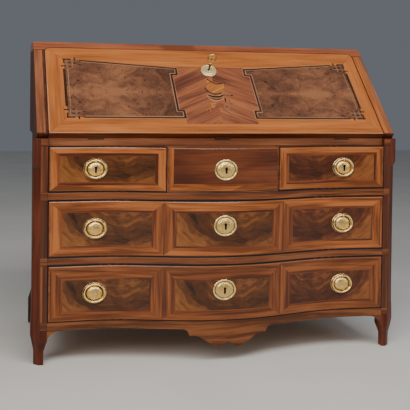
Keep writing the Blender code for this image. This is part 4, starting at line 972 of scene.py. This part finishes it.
def panel_outline():
    """The dark line round the left burr panel, anticlockwise from its lower outer corner."""
    return [(-PANEL_OUT, PANEL_LOW), (-HORN_X, PANEL_LOW), (-HORN_X, NOTCH_LOW), (-NOTCH_X, NOTCH_LOW),
            (-NOTCH_X, NOTCH_HIGH), (-HORN_X, NOTCH_HIGH), (-HORN_X, PANEL_IN_HIGH),
            (-PANEL_OUT, PANEL_HIGH)]


def inset_outline(points, distance):
    """The outline moved inwards by that much, corner by corner."""
    count = len(points)
    moved = []
    for i in range(count):
        before = (Vector(points[i]) - Vector(points[i - 1])).normalized()
        after = (Vector(points[(i + 1) % count]) - Vector(points[i])).normalized()
        normal_before = Vector((-before.y, before.x))
        normal_after = Vector((-after.y, after.x))
        bisector = (normal_before + normal_after).normalized()
        reach = distance / max(bisector.dot(normal_before), SHARPEST_MITRE)
        moved.append(tuple(Vector(points[i]) + bisector * reach))
    return moved


def polyline(points):
    """The sides of an open line as start and end points."""
    return list(zip(points, points[1:]))


def ring_lines(points):
    """The sides of a closed outline as start and end points."""
    return polyline(points) + [(points[-1], points[0])]


def both_sides(lines):
    """Lines of the left half, and the same on the right."""
    return lines + [tuple((-x, s) for x, s in line) for line in lines]


def fall_border():
    """The lid's golden border mitred into the corners, with a painted highlight on the arris below and at
    the left.
    """
    margin = FALL_INSET
    left_edge = margin - FALL_HALF - MID_X
    right_edge = FALL_HALF - margin - MID_X
    high = FALL_LENGTH - margin
    radius = FALL_CORNER - margin
    radii = (radius, radius)
    half = CORNER_STEPS // 2
    right_corner = arc((right_edge - radius, high - radius), radii, 0, 90, CORNER_STEPS)
    left_corner = arc((left_edge + radius, high - radius), radii, 90, 180, CORNER_STEPS)
    low_left, low_right = (left_edge, margin), (right_edge, margin)
    panel_low, panel_high = (-PANEL_OUT, PANEL_LOW), (-PANEL_OUT, PANEL_HIGH)
    right_low, right_high = (PANEL_OUT, PANEL_LOW), (PANEL_OUT, PANEL_HIGH)
    crown = [panel_high, (-HORN_X, PANEL_IN_HIGH), (-HORN_X, FIELD_HIGH)]
    sill = [(-HORN_X, FIELD_LOW), (-HORN_X, PANEL_LOW), panel_low]
    top = crown + mirrored(crown) + right_corner[half:] + left_corner[:half + 1]
    bottom = [low_left, low_right] + mirrored(sill) + sill
    left = [low_left, panel_low, panel_high] + left_corner[half:]
    right = [low_right] + right_corner[:half + 1] + [right_high, right_low]
    panels = [panel(top, 0.0, (0.3, 0.0)), panel(bottom, 0.0, (2.3, 1.0)),
              panel(left, UPRIGHT, (0.0, 4.0)), panel(right, UPRIGHT, (0.0, 6.0))]
    lay("fall_border", panels, 0, golden_wood)
    mitres = [(low_left, panel_low), (low_right, right_low), (left_corner[half], panel_high),
              (right_corner[half], right_high)]
    lay("fall_mitres", strings(mitres, MITRE_WIDTH), 1, line_wood)
    # A pale strip along the lower and left edges is painted highlight of the arris.
    arris_half = ARRIS / 2
    arris = [((left_edge, margin + arris_half), (right_edge, margin + arris_half)),
             ((left_edge + arris_half, margin), (left_edge + arris_half, high - radius))]
    lay("fall_arris_highlight", strings(arris, ARRIS), 1, light_inlay)


def fall_middle():
    """Two leaves of striped veneer between the panels, matched in the middle."""
    left = [(-HORN_X, FIELD_LOW), (0.0, FIELD_LOW), (0.0, FIELD_HIGH), (-HORN_X, FIELD_HIGH),
            (-HORN_X, NOTCH_HIGH), (-NOTCH_X, NOTCH_HIGH), (-NOTCH_X, NOTCH_LOW), (-HORN_X, NOTCH_LOW)]
    panels = [panel(left, STRIPE_LEAN), panel(mirrored(left), math.pi - STRIPE_LEAN)]
    lay("fall_chevron", panels, 0, chevron_wood)
    ends = [((-HORN_X, s), (HORN_X, s)) for s in (FIELD_LOW, FIELD_HIGH)]
    lay("fall_field_string", strings(ends, FINE_WIDTH), 1, line_wood)


def corner_knot(s_corner, up):
    """Strapwork at an outer corner of the left panel: dark straps, and the light lines between them."""
    straps = KNOT_STRAPS + [((u - DOT_HALF, v), (u + DOT_HALF, v)) for u, v in KNOT_DOTS]
    lights = []
    for step in KNOT_LIGHTS:
        out = step + LIGHT_SHIFT
        lights += [((LIGHT_START, step), (LIGHT_ALONG, step)), ((out, LIGHT_START), (out, LIGHT_ACROSS))]

    def at_corner(lines):
        """Lines moved to the corner of the panel."""
        return [tuple((u - PANEL_OUT, s_corner + up * v) for u, v in line) for line in lines]
    return at_corner(straps), at_corner(lights)


def bar_line(shift):
    """The line of the broad bar at the outer end of the left panel, moved inwards."""
    return [((shift - PANEL_OUT, BAR_LOW), (shift - PANEL_OUT, BAR_HIGH))]


def fall_panels():
    """Burr panels matched about their middle, with dark and light strings and knots at the corners."""
    outline = panel_outline()
    middle = (PANEL_LOW + PANEL_IN_HIGH) / 2
    burrs = [panel(outline, 0.0, (-BURR_SHIFT, middle), True),
             panel(mirrored(outline), math.pi, (BURR_SHIFT, middle), True)]
    lay("fall_burr_panels", burrs, 0, burr)
    slope = (PANEL_HIGH - PANEL_IN_HIGH) / (PANEL_OUT - HORN_X)
    rings = []
    for distance in (0.0, LIGHT_INSIDE, LIGHT_OUTSIDE):
        ring = ring_lines(inset_outline(outline, distance))
        inner_end, (x, s) = ring[UPPER_SIDE]
        ring[UPPER_SIDE] = (inner_end, (x + KNOT, s - KNOT * slope))
        (x, s), inner_end = ring[LOWER_SIDE]
        ring[LOWER_SIDE] = ((x + KNOT, s), inner_end)
        rings.append(ring[:-1])
    dark, inside, outside = rings
    inside += bar_line(BAR_LIGHT_INSIDE)
    outside += bar_line(-BAR_LIGHT_OUTSIDE)
    high_knot, high_lights = corner_knot(PANEL_HIGH, -1)
    low_knot, low_lights = corner_knot(PANEL_LOW, 1)
    lights = strings(both_sides(inside), LIGHT_WIDTH)
    lights += strings(both_sides(outside + high_lights + low_lights), FINE_WIDTH)
    darks = strings(both_sides(dark + high_knot + low_knot), DARK_WIDTH)
    darks += strings(both_sides(bar_line(0.0)), BAR_WIDTH)
    lay("fall_light_string", lights, 1, boxwood)
    lay("fall_dark_string", darks, 2, brown_string)


def fall_urn():
    """A wide golden urn on a shaded bowl, with a spreading foot and a flourish at its right."""
    gold = [panel(arc(*URN_BODY) + URN_RIM, URN_GRAIN), panel(URN_FOOT, UPRIGHT, (2.0, 0.0))]
    gold += strings(polyline(URN_SMILE), SMILE_WIDTH) + strings(FOOT_STREAKS, STREAK_WIDTH)
    lay("fall_urn", gold, 1, urn_wood)
    bowl = arc(*BOWL_BELOW) + arc(*BOWL_ABOVE)[1:-1]
    lay("fall_urn_bowl", [panel(bowl, 0.0, (1.0, 0.0))], 1, brown_string)
    shading = polyline(arc(*URN_SHADE)) + polyline(URN_RIM[1:])
    twigs = polyline(HIGH_TWIG) + polyline(LOW_TWIG) + polyline(TAIL)
    darks = strings(shading, SHADE_WIDTH) + strings(BLOBS, BLOB_WIDTH) + strings(twigs, TWIG_WIDTH)
    lay("fall_urn_shading", darks, 2, brown_string)
    lights = [line for glint in BOWL_GLINTS for line in polyline(arc(*glint))]
    lay("fall_urn_lights", strings(lights, GLINT_WIDTH), 3, light_inlay)
    pale = ring_lines(arc(*FLOURISH_RING)) + DASHES
    pale += [tuple((x + TWIG_LIGHT, s + TWIG_LIGHT) for x, s in line) for line in twigs]
    lay("fall_flourish", strings(pale, TWIG_WIDTH), 3, boxwood)


def side_strips():
    """Reddish strips on the sloped edges of the sides, and a golden one beside the lid at the right."""
    left = rectangle(-STRIP_OUT, STRIP_LOW, -STRIP_IN, STRIP_HIGH)
    right = rectangle(GOLD_STRIP_OUT, STRIP_LOW, STRIP_OUT, STRIP_HIGH)
    golden = rectangle(GOLD_STRIP_IN, STRIP_LOW, GOLD_STRIP_OUT, STRIP_HIGH)
    red = [panel(left, UPRIGHT), panel(right, UPRIGHT, (0.0, 3.0))]
    gold = [panel(golden, UPRIGHT, (0.0, 6.0))]
    for name, panels, material in (("slope_strips", red, strip_wood),
                                   ("golden_slope_strip", gold, golden_wood)):
        inlay(name, panels, on_fall, (SUNK, PAPER + STEP_UP), material, "carcass")


def fall_inside():
    """A banded border on the fall's inner face."""
    band = mitred_frame(INNER_BAND_OUT, INNER_BAND_IN)
    inlay("fall_inner_band", band, inside_fall, (SUNK, INNER_LEAF), band_wood, "fall")


fall_border()
fall_middle()
fall_panels()
fall_urn()
side_strips()
fall_inside()

# Brass

PLATE_WIDTH = 0.076
PLATE_HEIGHT = 0.066
PLATE_RIM = 0.0045           # height over which a plate goes from the curve of the front to a flat oval
PLATE_SEAT = 0.0003          # back of a plate in front of the wood
PULL_X = 0.414
RING_WIDTH = 0.0725
RING_HEIGHT = 0.062
RING_RADIUS = 0.0036
RING_FLAT = 0.0028           # half the ring's width, seen from the front
RING_OFFSET = 0.0085
RING_DROP = RING_HEIGHT / 2 - RING_RADIUS
RING_POINTS = 16             # points round the section of a ring, and sections round the ring
RING_STEPS = 96
EYE_RADIUS = 0.0056
EYE_WIDTH = 0.0050
EYE_EASE = 0.0012
ESCUTCHEON_LIFT = 0.010
KEYHOLE_RADIUS = 0.0042
KEYHOLE_RISE = 0.0046
KEYHOLE_SLOT = 0.0030        # half the width of the slot
KEYHOLE_FOOT = -0.0112
KEYHOLE_PROUD = 0.0010
PULL_KEYHOLE = 0.0118        # back of the keyhole in front of its plate's back
SHIELD_KEYHOLE = 0.0086
KEY_STEM = 0.040
KEY_BOW_WIDTH = 0.034
KEY_BOW_LENGTH = 0.038
KEY_WIRE = 0.0023
KEY_POINTS = 10
KEY_STEPS = 40
KEY_STEM_STEPS = 24
KEY_HEART = (0.0050, 0.0085)          # half the width and the length of each small loop in the bow
KEY_HEART_X = 0.0065
KEY_HEART_DROP = 0.004
KEY_BIT = (0.0024, 0.008, 0.006)
KEY_BIT_PLACE = (0.0, -0.004, -0.0145)
KEY_BRIGHT_FROM = KEY_STEM - 0.006
KEY_BRIGHT = 0.25                     # groove value of the handled end of the key, and of the rest, which is darkened as painted shade
KEY_STEM_SHADE = 0.9
EYE_EDGE = 35                         # degrees from which an edge is kept hard
BRASS_EDGE = 40
RING_EDGE = 60

# Turned profiles: radius and height, from the middle of the face to the back
PULL_PROFILE = [(0.0, 0.0122), (0.005, 0.0121), (0.010, 0.0116), (0.0145, 0.0106), (0.0180, 0.0090),
                (0.0205, 0.0070), (0.0220, 0.0050), (0.0229, 0.0037), (0.0236, 0.0033), (0.0246, 0.0036),
                (0.0256, 0.0042), (0.0280, 0.0043), (0.0297, 0.0042), (0.0306, 0.0036), (0.0313, 0.0044),
                (0.0320, 0.0047), (0.0326, 0.0043), (0.0330, 0.0033), (0.0330, 0.0)]
SHIELD_PROFILE = [(0.0, 0.0090), (0.006, 0.0088), (0.011, 0.0082), (0.0155, 0.0073), (0.0195, 0.0060),
                  (0.0228, 0.0047), (0.0250, 0.0036), (0.0266, 0.0030), (0.0278, 0.0032), (0.0290, 0.0042),
                  (0.0304, 0.0047), (0.0318, 0.0044), (0.0327, 0.0034), (0.0330, 0.0022), (0.0330, 0.0)]
FALL_PROFILE = [(0.0032, 0.0), (0.0032, 0.0042), (0.0060, 0.0042), (0.0090, 0.0040), (0.0105, 0.0034),
                (0.0120, 0.0034), (0.0135, 0.0038), (0.0190, 0.0030), (0.0208, 0.0023), (0.0222, 0.0023),
                (0.0240, 0.0032), (0.0258, 0.0031), (0.0274, 0.0022), (0.0280, 0.0012), (0.0280, 0.0)]
KEY_PROFILE = [(0.0, -0.018), (0.0030, -0.018), (0.0030, 0.026), (0.0046, 0.027), (0.0052, 0.029),
               (0.0046, 0.031), (0.0034, 0.032), (0.0034, 0.035), (0.0050, 0.0365), (0.0034, 0.038),
               (0.0030, KEY_STEM + 0.002), (0.0, KEY_STEM + 0.002)]

# Wear: reach of the hammered dome, then radius and half width of each dark groove
PULL_WEAR = (0.0218, ((0.0236, 0.0030), (0.0306, 0.0020)))
SHIELD_WEAR = (0.0240, ((0.0264, 0.0030),))
FALL_WEAR = (0.0, ((0.0112, 0.0014), (0.0215, 0.0012)))


def spin_line(shape, line, closed, steps):
    """Spins a line of (radius, height) points about Z."""
    verts = [shape.verts.new((radius, 0.0, height)) for radius, height in line]
    first = 0 if closed else 1
    edges = [shape.edges.new((verts[i - 1], verts[i])) for i in range(first, len(verts))]
    bmesh.ops.spin(shape, geom=verts + edges, cent=(0.0, 0.0, 0.0), axis=(0.0, 0.0, 1.0),
                   dvec=(0.0, 0.0, 0.0), angle=2 * math.pi, steps=steps, use_merge=True,
                   use_duplicate=False)


def weld(shape):
    """Merges points that lie on each other."""
    bmesh.ops.remove_doubles(shape, verts=shape.verts[:], dist=WELD_REACH)


def turned(profile, wear, steps=72):
    """A turned plate with its wear marked."""
    shape = bmesh.new()
    spin_line(shape, profile, False, steps)
    weld(shape)
    face_out(shape)
    mark_grooves(shape, worn_dome(*wear))
    return shape


def hoop(across, along, section, points, steps):
    """A hoop about Z: half its oval middle line in X and Y, half its section's width and height."""
    width, height = section
    angles = [2 * math.pi * i / points for i in range(points)]
    shape = bmesh.new()
    spin_line(shape, [(along + width * math.cos(a), height * math.sin(a)) for a in angles], True, steps)
    weld(shape)
    for vertex in shape.verts:
        a, b, c = vertex.co
        radius = math.hypot(a, b)
        vertex.co = (a + a / radius * (across - along), b, c)
    return shape


def mark_grooves(shape, depth_of):
    """A groove value on each vertex, which the brass reads as patina."""
    layer = shape.verts.layers.float.new("groove")
    for vertex in shape.verts:
        vertex[layer] = depth_of(vertex.co)


def worn_dome(reach, grooves):
    """A groove value that is 1 at the radius of each groove, and low on the dome inside that reach."""
    def depth(co):
        """The groove value at a point of the turned plate."""
        radius = math.hypot(co.x, co.y)
        deepest = max(1.0 - abs(radius - middle) / width for middle, width in grooves)
        return max(0.0, deepest, DOME_PATINA if radius < reach else 0.0)
    return depth


def fitting(shape, name, node, material, body, angle=BRASS_EDGE):
    """A brass piece in the place of a CAD node."""
    piece = keep(shape, name, material, body)
    smooth(piece, angle)
    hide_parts(node)


def plate_back(x):
    """Y of the back of a plate on the serpentine front."""
    return front_y(x) - PLATE_SEAT


def oval_plate(name, profile, wear, x, z, body):
    """A turned plate drawn out to an oval and laid on the serpentine front."""
    stretch = PLATE_WIDTH / PLATE_HEIGHT

    def place(a, b, c):
        """A point of the round plate on the front."""
        x_here = x + a * stretch
        follow = max(0.0, 1.0 - c / PLATE_RIM)
        return x_here, plate_back(x) - c + follow * (front_y(x_here) - front_y(x)), z + b
    shape = turned(profile, wear)
    put(shape, place)
    fitting(shape, name + "_face", name, brass, body)


def keyhole(name, x, y_back, z, body):
    """A keyhole: a round hole with a slot below it, let into the plate, drawn as a near-black leaf of
    painted shade.
    """
    outline = arc((0.0, KEYHOLE_RISE), (KEYHOLE_RADIUS, KEYHOLE_RADIUS), -45, 225, 14)
    outline += [(-KEYHOLE_SLOT, KEYHOLE_FOOT), (KEYHOLE_SLOT, KEYHOLE_FOOT)]
    leaf = leaf_of(panel(outline), (0.0, KEYHOLE_PROUD))
    put(leaf, lambda a, b, c: (x + a, y_back - c, z + b))
    keep(leaf, name + "_keyhole", keyhole_shade, body)


def pull_plate(name, x, z, body, has_keyhole):
    """A domed oval plate with the eye that carries its ring."""
    oval_plate(name, PULL_PROFILE, PULL_WEAR, x, z, body)
    eye = bmesh.new()
    place = Matrix.Translation((x, plate_back(x) - RING_OFFSET, z + RING_DROP))
    bmesh.ops.create_cone(eye, cap_ends=True, segments=28, radius1=EYE_RADIUS, radius2=EYE_RADIUS,
                          depth=EYE_WIDTH, matrix=place @ Matrix.Rotation(math.pi / 2, 4, "Y"))
    rims = [e for e in eye.edges if len({round(v.co.x, 5) for v in e.verts}) == 1]
    bmesh.ops.bevel(eye, geom=rims, offset=EYE_EASE, segments=3, profile=0.5, affect="EDGES", material=-1)
    smooth(keep(eye, name + "_eye", brass, body), EYE_EDGE)
    if has_keyhole:
        keyhole(name, x, plate_back(x) - PULL_KEYHOLE, z, body)


def escutcheon(name, x, z, body):
    """A domed oval plate with a keyhole and no ring."""
    oval_plate(name, SHIELD_PROFILE, SHIELD_WEAR, x, z, body)
    keyhole(name, x, plate_back(x) - SHIELD_KEYHOLE, z, body)


def ring_pull(name, x, z):
    """An oval ring with a flattened section, hung from its eye."""
    ring = hoop(RING_WIDTH / 2 - RING_RADIUS, RING_HEIGHT / 2 - RING_RADIUS, (RING_FLAT, RING_RADIUS),
                RING_POINTS, RING_STEPS)
    y_axis = plate_back(x) - RING_OFFSET
    mark_grooves(ring, lambda co: 0.0)
    put(ring, lambda a, b, c: (x + a, y_axis - c, z + b))
    fitting(ring, name + "_bail", name, brass, name, RING_EDGE)


def row_middle(row):
    """Height of the middle of a drawer row."""
    return (ROW_TOP[row] + ROW_BOTTOM[row]) / 2


def drawer_brass():
    """Plates, rings and keyholes of the drawers and the dummy front."""
    long_drawers = (("middle_drawer", 1), ("bottom_drawer", 2))
    for end, side in (("left", -1), ("right", 1)):
        drawer = "small_drawer_" + end
        pull_plate(drawer + "_plate", side * PULL_X, row_middle(0), drawer, True)
        ring_pull(drawer + "_ring", side * PULL_X, row_middle(0))
        for drawer, row in long_drawers:
            pull_plate(drawer + "_plate_" + end, side * PULL_X, row_middle(row), drawer, False)
            ring_pull(drawer + "_ring_" + end, side * PULL_X, row_middle(row))
    escutcheon("dummy_escutcheon", KEYHOLE_X, row_middle(0), "carcass")
    for drawer, row in long_drawers:
        escutcheon(drawer + "_escutcheon", KEYHOLE_X, row_middle(row) + ESCUTCHEON_LIFT, drawer)


def fall_plate():
    """The fall's round keyhole plate."""
    shape = turned(FALL_PROFILE, FALL_WEAR)
    put(shape, lambda a, b, c: on_fall(a, LOCK_S + b, c + PLATE_SEAT))
    fitting(shape, "fall_escutcheon_face", "fall_escutcheon", satin_brass, "fall")


def fall_key():
    """The key: a turned stem with a bit, and a bow of one large and two small loops."""
    key = bmesh.new()
    spin_line(key, KEY_PROFILE, False, KEY_STEM_STEPS)
    bmesh.ops.create_cube(key, matrix=Matrix.Translation(KEY_BIT_PLACE) @ Matrix.Diagonal((*KEY_BIT, 1.0)))
    middle = KEY_STEM + KEY_BOW_LENGTH / 2
    low = middle - KEY_HEART_DROP
    bow = (KEY_BOW_WIDTH / 2 - KEY_WIRE, KEY_BOW_LENGTH / 2 - KEY_WIRE)
    for x, z, halves in ((0.0, middle, bow), (-KEY_HEART_X, low, KEY_HEART), (KEY_HEART_X, low, KEY_HEART)):
        loop = hoop(*halves, (KEY_WIRE, KEY_WIRE), KEY_POINTS, KEY_STEPS)
        put(loop, lambda a, b, c: (x + a, c, z + b))
        join(key, loop)
    weld(key)
    # Below the bow the key is dulled nearly to black: painted shade of the stem at the keyhole.
    mark_grooves(key, lambda co: KEY_BRIGHT if co.z > KEY_BRIGHT_FROM else KEY_STEM_SHADE)
    put(key, lambda a, b, c: on_fall(a, LOCK_S + b, c))
    fitting(key, "fall_key_cast", "fall_key", brass, "fall_key")


drawer_brass()
fall_plate()
fall_key()

# Back boards

BACK_BOARDS = 6
BOARD_GROOVE = (0.0022, 0.0030)       # half the width and the depth of the groove between two boards


def back_boards():
    """The back panel as tongued upright boards, with a groove on both faces where two meet."""
    low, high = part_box("back_panel")
    half, depth = BOARD_GROOVE
    front, back = [], []
    for i in range(1, BACK_BOARDS):
        x = low.x + (high.x - low.x) * i / BACK_BOARDS
        front += [(x - half, low.y), (x, low.y + depth), (x + half, low.y)]
        back += [(x - half, high.y), (x, high.y - depth), (x + half, high.y)]
    plan = [(low.x, low.y), *front, (high.x, low.y), (high.x, high.y), *reversed(back), (low.x, high.y)]
    shape = flat(plan, low.z)
    raise_up(shape, high.z - low.z)
    piece = keep(shape, "back_boards", back_pine, "carcass")
    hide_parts("back_panel")


back_boards()

# Finishes of the nodes that stay

EASED = 0.0012
FALL_EASED = 0.0018
NODE_WELD = 0.00001
EASED_FROM = math.radians(40)         # sharper edges of a node are eased


def dress(names, material, soften=0.0):
    """Gives CAD nodes a finish, and eases their edges."""
    for name in names:
        node = nodes[name]
        node.data.materials.clear()
        node.data.materials.append(material)
        if soften:
            welded = node.modifiers.new("weld", "WELD")
            welded.merge_threshold = NODE_WELD
            eased = node.modifiers.new("ease", "BEVEL")
            eased.width = soften
            eased.segments = 2
            eased.limit_method = "ANGLE"
            eased.angle_limit = EASED_FROM


def ending(*words):
    """CAD nodes whose names end in one of these words."""
    return [name for name in nodes if name.endswith(words)]


dress(["front_post_left", "front_post_right"], post_wood, EASED)
dress(["back_post_left", "back_post_right"], back_post_wood, EASED)
dress(["side_left", "side_right"], side_wood, EASED)
dress(["top_board"], top_wood, EASED)
# The rail under the fall is a lighter walnut than the other rails: painted light against the shade of the
# fall.
dress(["rail_top"], lit_top_rail_wood)
dress(["apron", "dummy_front"], rail_wood)
dress(["rail_upper", "rail_lower"], joint_wood)
dress(["gradin"], inside_wood)
dress(["writing_bed"], bed_wood)
dress(["inner_drawer_left", "inner_drawer_right"], inner_drawer_wood)
dress(["bottom_board", "dust_board_upper", "dust_board_lower", "divider_left", "divider_right"], board_pine)
# The fall's own wood, seen at its edges and inside, is darkened as painted shade of its lower edge.
dress(["fall_panel"], shaded_fall_edge_wood, FALL_EASED)
dress(ending("drawer_front", "_left_front", "_right_front"), joint_wood)
dress(ending("_tray"), pine_wood)
dress(ending("_lock") + ["fall_bolt"], iron)
dress([name for name in nodes if name.startswith("hinge_")], hinge_brass)

# Floor, light and camera

FLOOR_HALF = 9.0
FLOOR_TONES = [(0.3, (0.66, 0.63, 0.58)), (0.7, (0.72, 0.69, 0.64))]
SKY = (0.80, 0.88, 1.0, 1.0)
SKY_STRENGTH = 0.16
SENSOR = 36.0
FOCAL_PIXELS = 812.49
FRAME_PIXELS = 410
CAMERA_PLACE = (-0.7170, -2.7535, 0.8523)
CAMERA_YAW = -0.20866
CAMERA_PITCH = 0.02522
CAMERA_ROLL = 0.01229
MIDDLE_PIXEL = (168.82, 113.79)       # where the camera points, in the cropped frame


def floor():
    """A plain pale floor."""
    shape = bmesh.new()
    bmesh.ops.create_grid(shape, x_segments=2, y_segments=2, size=FLOOR_HALF)
    material, _, _, _ = mottled("pale floor", scale=2.0, detail=3.0, stops=FLOOR_TONES, rough=0.6)
    made_object(shape, "floor", material)


def lamp(name, place, aim, size, power, colour=(1.0, 1.0, 1.0)):
    """A soft rectangular lamp that points at a place."""
    data = bpy.data.lights.new(name, "AREA")
    data.shape = "RECTANGLE"
    data.size, data.size_y = size
    data.energy = power
    data.color = colour
    item = bpy.data.objects.new(name, data)
    item.location = place
    item.rotation_euler = (Vector(aim) - Vector(place)).to_track_quat("-Z", "Y").to_euler()
    bpy.context.scene.collection.objects.link(item)


def light():
    """A large soft key from the upper left, a fill, a light from above and an even sky."""
    lamp("key", place=(-2.4, -3.2, 2.9), aim=(0.0, -0.2, 0.6), size=(2.6, 2.2), power=120.0,
         colour=(1.0, 0.97, 0.93))
    lamp("above", place=(0.4, -2.6, 3.6), aim=(0.0, -0.2, 0.5), size=(2.8, 1.4), power=110.0)
    lamp("fill", place=(3.0, -2.4, 1.8), aim=(0.0, 0.0, 0.5), size=(2.0, 2.0), power=30.0,
         colour=(0.93, 0.96, 1.0))
    world = bpy.data.worlds.new("soft sky")
    world.use_nodes = True
    background = world.node_tree.nodes["Background"]
    background.inputs["Color"].default_value = SKY
    background.inputs["Strength"].default_value = SKY_STRENGTH
    bpy.context.scene.world = world


def camera():
    """The camera fitted to the photograph: turned about Z, tipped down, with a slight roll."""
    data = bpy.data.cameras.new("camera")
    data.sensor_width = SENSOR
    data.lens = FOCAL_PIXELS / FRAME_PIXELS * data.sensor_width
    data.shift_x = 0.5 - MIDDLE_PIXEL[0] / FRAME_PIXELS
    data.shift_y = MIDDLE_PIXEL[1] / FRAME_PIXELS - 0.5
    item = bpy.data.objects.new("camera", data)
    right = Vector((math.cos(CAMERA_YAW), math.sin(CAMERA_YAW), 0.0))
    level = Vector((-math.sin(CAMERA_YAW), math.cos(CAMERA_YAW), 0.0))
    down = Vector((0.0, 0.0, -1.0))
    tipped_down = math.cos(CAMERA_PITCH) * down - math.sin(CAMERA_PITCH) * level
    ahead = math.sin(CAMERA_PITCH) * down + math.cos(CAMERA_PITCH) * level
    across = math.cos(CAMERA_ROLL) * right - math.sin(CAMERA_ROLL) * tipped_down
    below = math.sin(CAMERA_ROLL) * right + math.cos(CAMERA_ROLL) * tipped_down
    turn = Matrix((across, -below, -ahead)).transposed().to_4x4()
    item.matrix_world = Matrix.Translation(CAMERA_PLACE) @ turn
    bpy.context.scene.collection.objects.link(item)
    bpy.context.scene.camera = item


floor()
light()
camera()
